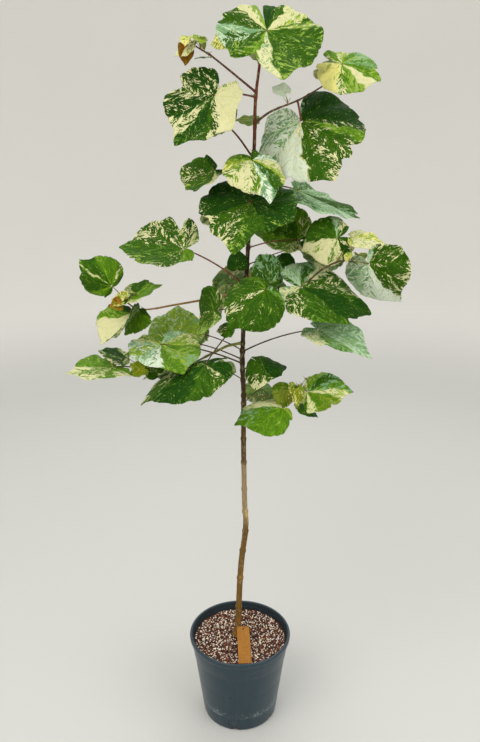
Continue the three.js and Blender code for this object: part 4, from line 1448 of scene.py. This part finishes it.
    def streaks(self, leaf: Leaf, degrees: np.ndarray, radius: np.ndarray) -> np.ndarray:
        """Pattern coordinates that run along the side ribs, so that the marks lie between them.

        Args:
            leaf: The leaf.
            degrees: The bearings of the columns.
            radius: The points' distances from the joint.

        Returns:
            For each face of the grid, the coordinates of its four corners.
        """
        edges = np.append(degrees, degrees[0] + 360)
        middle = (edges[1:] + edges[:-1]) / 2
        vein, slant = self.nearest(middle), self.rib_slant
        patch = 2 * vein / 7 + (middle > vein) * 3.7 + leaf.phase * 5
        far = np.vstack([np.hstack([radius, radius[:, :1]]), np.append(radius[0], radius[0, 0])]) * leaf.width
        corners = []
        for a, b in QUAD:
            out = far[a : a + len(radius), b : b + len(degrees)]
            off = np.radians(edges[b : b + len(degrees)] - vein)[None, :]
            run, gap = out * np.cos(off), np.abs(out * np.sin(off))
            corners.append(np.stack([(run - slant * gap) / 9 + patch, (slant * run + gap) / 30 + patch], -1))
        return np.stack(corners, 2)

    def piece(self, name: str, leaves: Sequence[Leaf],
              materials: Sequence[bpy.types.Material]) -> bpy.types.Object:
        """Joins the blades of some leaves into one piece.

        Args:
            name: The piece's name.
            leaves: The leaves.
            materials: The finishes of the upper and the under face.

        Returns:
            The piece.
        """
        blades = [self.blade(leaf) for leaf in leaves]
        cells = self.atlas([leaf.width for leaf in leaves])
        points, faces, sides = [], [], []
        maps: dict[str, list[np.ndarray]] = {"streak": [], "OFBake": []}
        base = 0
        for blade, (u0, v0, u1, v1) in zip(blades, cells):
            rows, columns = blade["rib"].shape
            number = base + np.arange(rows * columns).reshape(rows, columns)
            i, j = (index.ravel() for index in np.meshgrid(np.arange(rows), np.arange(columns), indexing="ij"))
            corner = [((i + a) % rows, (j + b) % columns, i + a, j + b) for a, b in QUAD]
            faces.append(np.stack([number[r, c] for r, c, _, _ in corner], -1))
            sides.append((i >= rows // 2).astype(int))
            maps["streak"].append(blade["streak"].reshape(-1, 4, 2))
            weight = np.concatenate([np.full(rows // 2 - 1, 1.0), [0.25], np.full(rows // 2 - 1, 0.6), [0.25]])
            level = np.concatenate([[0], np.cumsum(weight)]) / weight.sum()
            maps["OFBake"].append(np.stack([
                np.stack([u0 + (u1 - u0) * full / columns, v0 + (v1 - v0) * level[r]], -1)
                for _, _, r, full in corner], 1))
            points.append(blade["points"].reshape(-1, 3))
            base += rows * columns
        piece = mesh_piece(name, np.vstack(points), np.vstack(faces), materials)
        mesh = piece.data
        mesh.polygons.foreach_set("material_index", np.concatenate(sides).astype(np.int32))
        for label, kind in (("vein", "FLOAT"), ("rib", "FLOAT"), ("share", "FLOAT"),
                            ("green", "FLOAT_COLOR"), ("pale", "FLOAT_COLOR")):
            values = np.concatenate([blade[label].ravel() for blade in blades])
            made = mesh.attributes.new(label, kind, "POINT")
            made.data.foreach_set("value" if kind == "FLOAT" else "color", values.astype(np.float32))
        for label, chunks in maps.items():
            layer = mesh.uv_layers.new(name=label)
            layer.data.foreach_set("uv", np.concatenate([chunk.ravel() for chunk in chunks]).astype(np.float32))
        mesh.update()
        return piece

    @staticmethod
    def atlas(widths: Sequence[float], margin: float = 0.004) -> list[tuple[float, float, float, float]]:
        """Shares a square out among the blades, in rows.

        Args:
            widths: The blades' widths.
            margin: The gap round each cell.

        Returns:
            The cell of each blade, as its left, lower, right and upper edge.
        """
        total = math.sqrt(sum(2.6 * w * 0.95 * w for w in widths))
        rows: list[list[int]] = [[]]
        for index in sorted(range(len(widths)), key=lambda k: -widths[k]):
            if rows[-1] and sum(2.6 * widths[k] for k in rows[-1]) + 1.3 * widths[index] > total:
                rows.append([])
            rows[-1].append(index)
        heights = [sum(widths[k] ** 2 for k in row) / sum(widths[k] for k in row) for row in rows]
        cells: dict[int, tuple[float, float, float, float]] = {}
        low = 0.0
        for row, height in zip(rows, heights):
            high, left = low + height / sum(heights), 0.0
            for k in row:
                right = left + widths[k] / sum(widths[i] for i in row)
                cells[k] = (left + margin, low + margin, right - margin, high - margin)
                left = right
            low = high
        return [cells[k] for k in range(len(widths))]

    def build(self, plant: Plant) -> None:
        """Makes and declares every piece of blades.

        Args:
            plant: The plant whose leaves they are.
        """
        materials = [LeafFinish("leaf_upper").build(), LeafFinish("leaf_under", 0.62, True).build()]
        for place, leaves in plant.blades.items():
            if place.startswith("foliage_"):
                declare(self.piece(place.replace("foliage", "blades"), leaves, materials), "leaf", place)
        for name, places in LEAF_GROUPS.items():
            leaves = [plant.blades[place][0] for place in places]
            declare(self.piece(name, leaves, materials), "leaf", *[f"leaf_{place}" for place in places])


# The pot and what fills it
NOTCH_ARCH = [(-8, -7), (8, -7), (8, 4), (6.5, 6.3), (4, 7), (-4, 7), (-6.5, 6.3), (-8, 4)]


@dataclass
class Pot:
    """The nursery pot: one turned wall and floor with a rolled lip, ring lines and drain notches."""

    height: float = 240.0
    rim: float = 138.0
    lip: float = 15.0
    under_lip: float = 131.0
    foot: float = 101.0
    wall: float = 2.6
    floor: float = 4.0
    corner: float = 12.0
    sides: int = 240
    edge_round: float = 1.2
    notches: int = 6
    first_notch: float = -97.0
    notch_depth: float = 7.0

    def body(self, z: float) -> float:
        """The outside radius of the body at a height."""
        return self.foot + (self.under_lip - self.foot) * z / (self.height - self.lip)

    def inner(self, z: float) -> float:
        """The inside radius at a height."""
        return self.body(z) - self.wall

    def outline(self) -> list[tuple[float, float]]:
        """The wall's outline from the foot's middle, outside and over the lip, back to the axis."""
        h, body, inner = self.height, self.body, self.inner
        side = []
        for ring in (40, 120, 180):
            side += [(body(ring - 0.8), ring - 0.8), (body(ring) - 0.5, ring), (body(ring + 0.8), ring + 0.8)]
        side[-1] = (body(180) + 1.2, 181.2)
        side += [(self.under_lip + 1.2, h - 22), (self.under_lip + 0.7, h - 21), (self.under_lip + 1.3, h - 20)]
        bend = self.floor + self.corner
        return [
            (0, 0), (self.foot - 20, 0), (self.foot - 16, 1.2), (self.foot - 8, 1.2), (self.foot - 6, 0),
            (self.foot - 3, 0), (body(3), 3), *side, (self.under_lip + 2.2, h - self.lip),
            (self.rim - 1.2, h - self.lip + 1.5), (self.rim, h - 4), (self.rim - 1.6, h - 0.6),
            (self.rim - 3.6, h), (inner(h) + 1, h - 0.6), (inner(h - 5), h - 5), (inner(h - 14), h - 14),
            (inner(h - 15) - 0.6, h - 15), (inner(bend), bend), (inner(bend) - self.corner, self.floor),
            (0, self.floor),
        ]

    def build(self) -> bpy.types.Object:
        points, faces = closed_turn(rounded(self.outline(), self.edge_round), self.sides)
        finish = PotFinish().build()
        pot = mesh_piece("nursery_pot", points, faces, [finish])
        blocks, solid = [], []
        for i in range(self.notches):
            out = level(self.first_notch + 360 / self.notches * i)
            side = np.cross([0, 0, 1], out)
            solid += prism_faces(len(NOTCH_ARCH), len(blocks))
            for depth in (-self.notch_depth, self.notch_depth):
                blocks += [out * (self.foot + depth) + side * w + np.array([0, 0, z]) for w, z in NOTCH_ARCH]
        cut_away(pot, mesh_piece("notch_blocks", np.array(blocks), solid, [finish], smooth=False))
        return declare(pot, "pot", "pot")


@dataclass(frozen=True)
class Grains:
    """One kind of loose grain: its finish, how many lie on a square metre, and its size and form."""

    name: str
    dark: str
    light: str
    scale: float
    density: float
    length: float
    flatness: float
    roughen: float


GRAINS = (
    Grains("bark_chips", "421c10", "964a2a", 120, 34000.0, 0.0085, 0.36, 0.09),
    Grains("bark_crumbs", "1e0e08", "64341f", 180, 90000.0, 0.0046, 0.6, 0.1),
    Grains("perlite_grains", "e6d0ac", "fffaee", 160, 36000.0, 0.0062, 0.8, 0.1),
)


@dataclass
class PottingMix:
    """Bark-based potting mix: a rough bed under loose bark chips, crumbs and grains of perlite."""

    top: float = 220.0
    flat: float = 22.0
    relief: float = 2.6
    seed: int = 7
    slack: float = 0.3
    sides: int = 144
    field_sides: int = 48
    clear: float = 11.0

    def build(self, pot: Pot) -> None:
        """Args:
            pot: The pot that holds the mix.
        """
        low, bend = pot.floor + self.slack, pot.floor + pot.corner
        edge, side = pot.inner(self.top) - self.slack, pot.inner(bend) - self.slack
        outline = [(0, low), (side - pot.corner, low), (side, bend + self.slack), (edge - 0.4, self.top - 1.5)]
        outline += [(edge * share, self.top - 0.4) for share in np.linspace(0.985, 0.02, 46)]
        grain = np.random.default_rng(self.seed)
        waves = [[grain.uniform(*span) for span in ((0.03, 0.5), (0, FULL_TURN), (0, 6))] for _ in range(40)]

        def rough(x: np.ndarray, y: np.ndarray, z: np.ndarray) -> np.ndarray:
            """Heights with the bed's lumps."""
            lump = sum(np.sin(k * (x * math.cos(a) + y * math.sin(a)) + p) for k, a, p in waves) / 9
            lump = lump + grain.uniform(-0.5, 0.5, x.shape)
            far = np.hypot(x, y)
            calm = np.clip((edge - far) / 8, 0, 1) * np.clip((far - self.flat) / 12, 0.2, 1)
            return z + np.where(z > self.top - 1, (lump - 0.7) * self.relief * 0.5 * calm, 0)

        points, faces = closed_turn([*outline, (0, self.top - 0.4)], self.sides, rough)
        soil = MixFinish("potting_soil", "20100a", "4a2617", 260).build()
        bed = mesh_piece("potting_mix_bed", points, faces, [soil])
        field_points, field_faces = self._field(edge - 5)
        scatter = scatter_tree()
        for number, kind in enumerate(GRAINS):
            finish = MixFinish(kind.name, kind.dark, kind.light, kind.scale).build()
            grains = mesh_piece(kind.name, field_points, field_faces, [finish])
            scatter.apply(grains, Density=kind.density, Seed=self.seed + number, Length=kind.length,
                          Flatness=kind.flatness, Roughen=kind.roughen, Finish=finish)
            declare(grains, "mix")
        declare(bed, "mix", "potting_mix")

    def _field(self, radius: float) -> tuple[np.ndarray, list[list[int]]]:
        """The flat ring on which the grains fall, with a hole for the trunk's foot.

        Args:
            radius: The ring's outer radius.

        Returns:
            Points and faces.
        """
        turn, (x, y, _) = ring_turns(self.field_sides), TRUNK_WAY[0]
        height = np.full(self.field_sides, self.top - 1.0)
        rings = [np.stack([x * (1 - s) + r * np.cos(turn), y * (1 - s) + r * np.sin(turn), height], -1)
                 for r, s in ((self.clear, 0), (45, 0.6), (radius, 1))]
        return np.vstack(rings), [face[::-1] for face in ring_faces(len(rings), self.field_sides)]


@dataclass
class Label:
    """The bare card tag that leans on the trunk's foot."""

    width: float = 34.0
    length: float = 112.0
    thickness: float = 1.4
    corner: float = 4.0
    hole: float = 2.6
    hole_sides: int = 32
    columns: int = 19
    rows: int = 57
    bow: float = 0.35
    top: tuple[float, float, float] = (8.0, 1.5, 250.7)
    tilt: float = 16.0
    turn: float = 3.0

    def build(self) -> bpy.types.Object:
        across, down, middle = self.columns, self.rows, self.thickness / 2
        x, y = np.meshgrid(np.linspace(-1, 1, across), np.linspace(-self.length, 0, down))
        half = self.width / 2 - np.clip(self.corner + y, 0, self.corner)
        x = x * half
        edge = np.maximum(np.abs(x) / half, np.abs(2 * y / self.length + 1)) ** 24
        slim = middle * (1 - 0.35 * edge)
        card = np.stack([np.stack([x, y, middle + lift], -1) for lift in (slim, -slim)])
        number = np.arange(card[..., 0].size).reshape(2, down, across)
        faces = []
        for i in range(down - 1):
            for j in range(across - 1):
                a, d, c, b = (number[:, i + p, j + q] for p, q in QUAD)
                faces += [[a[0], b[0], c[0], d[0]], [a[1], d[1], c[1], b[1]]]
        ring = [(0, j) for j in range(across - 1)] + [(i, across - 1) for i in range(down - 1)]
        ring += [(down - 1, j) for j in range(across - 1, 0, -1)] + [(i, 0) for i in range(down - 1, 0, -1)]
        for (i, j), (k, m) in zip(ring, ring[1:] + ring[:1]):
            faces.append([number[1, i, j], number[1, k, m], number[0, k, m], number[0, i, j]])
        finish = CardFinish().build()
        tag = mesh_piece("card_label", card.reshape(-1, 3), faces, [finish], smooth=False)
        turn = ring_turns(self.hole_sides) + math.pi / self.hole_sides
        x, y = self.hole * np.cos(turn), self.hole * np.sin(turn) - 3 * self.hole
        rim = [np.stack([x, y, np.full(self.hole_sides, z)], -1) for z in (-3, 5)]
        punch = mesh_piece("eye_punch", np.vstack(rim), prism_faces(self.hole_sides), [finish], smooth=False)
        cut_away(tag, punch)
        places = np.empty(len(tag.data.vertices) * 3)
        tag.data.vertices.foreach_get("co", places)
        tag.data.vertices.foreach_set("co", self._placed(places.reshape(-1, 3) / MM).ravel() * MM)
        tag.data.update()
        return declare(tag, "card", "plant_label")

    def _placed(self, flat: np.ndarray) -> np.ndarray:
        """Bows the flat card a little, then leans it into its place.

        Args:
            flat: The card's points as cut.

        Returns:
            Its points in the pot.
        """
        x, y, z = flat.T
        z = z + self.bow * (2 * x / self.width) ** 2 * np.clip(-y / 40, 0, 1)
        tilt, turn = math.radians(self.tilt), math.radians(self.turn)
        y, z = y * math.cos(tilt) - z * math.sin(tilt), y * math.sin(tilt) + z * math.cos(tilt)
        x, y = x * math.cos(turn) - y * math.sin(turn), x * math.sin(turn) + y * math.cos(turn)
        return np.stack([x, y, z], -1) + np.array(self.top)


@dataclass
class Studio:
    """A pale seamless floor, soft lights and the camera."""

    flat: float = 3.2
    cove: float = 2.6
    sides: int = 96
    lens: float = 31.5
    eye: tuple[float, float, float] = (0.0, -1.532, 1.412)
    down: float = 15.64

    def build(self) -> None:
        """Makes the floor, the lights, the sky light and the camera."""
        self._floor()
        self._light("key", (-1.7, -2.0, 3.4), 2.6, 62, (1.0, 0.98, 0.95))
        self._light("fill", (2.2, -1.6, 2.2), 2.4, 30, (0.96, 0.98, 1.0))
        self._light("back", (0.4, 2.2, 3.3), 2.4, 22, (1.0, 1.0, 1.0))
        world = bpy.data.worlds.new("soft_sky")
        world.use_nodes = True
        sky = Graph(world.node_tree)
        glow = sky.node("ShaderNodeBackground", None, {"Color": (0.92, 0.93, 0.94, 1), "Strength": 0.92})
        sky.node("ShaderNodeOutputWorld", None, {"Surface": glow.outputs[0]})
        bpy.context.scene.world = world
        bpy.context.scene.view_settings.view_transform = "Standard"
        camera = linked("camera", bpy.data.cameras.new("camera"))
        camera.data.lens = self.lens
        camera.location = self.eye
        camera.rotation_euler = (math.radians(90 - self.down), 0, 0)
        bpy.context.scene.camera = camera

    def _floor(self) -> None:
        """Makes the round floor, which turns up at its edge into the backdrop."""
        rise = np.linspace(0, math.pi / 2, 14)
        profile = [(r, 0.0) for r in (0.3, 0.8, 1.6, 2.4, self.flat)]
        profile += [(self.flat + self.cove * math.sin(a), self.cove * (1 - math.cos(a))) for a in rise[1:]]
        profile += [(self.flat + self.cove, self.cove + 2.2)]
        sides, turn = self.sides, ring_turns(self.sides)
        rings = [np.stack([r * np.cos(turn), r * np.sin(turn), np.full(sides, z)], -1) for r, z in profile]
        points = np.vstack([*rings, [[0, 0, 0]]]) / MM
        faces = [[a, d, c, b] for a, b, c, d in ring_faces(len(profile), sides)]
        faces += [[len(points) - 1, j, (j + 1) % sides] for j in range(sides)]
        mesh_piece("studio_floor", points, faces, [StudioFinish().build()])

    def _light(self, name: str, place: tuple[float, float, float], size: float, power: float,
               colour: tuple[float, float, float]) -> None:
        """Hangs one soft lamp that faces the plant.

        Args:
            name: The lamp's name.
            place: Where it hangs.
            size: Its width.
            power: Its power in watts.
            colour: Its colour.
        """
        lamp = bpy.data.lights.new(name, "AREA")
        lamp.size, lamp.energy, lamp.color = size, power, colour
        hung = linked(name, lamp)
        hung.location = place
        hung.rotation_euler = (Vector((0, 0, 1)) - Vector(place)).to_track_quat("-Z", "Y").to_euler()


def main() -> None:
    """Builds the studio, the pot and the plant."""
    logging.basicConfig(level=logging.INFO, format="%(message)s", stream=sys.stdout)
    Studio().build()
    pot = Pot()
    pot.build()
    PottingMix().build(pot)
    Label().build()
    plant = Plant()
    plant.build()
    BladeMaker().build(plant)


if __name__ == "__main__":
    main()
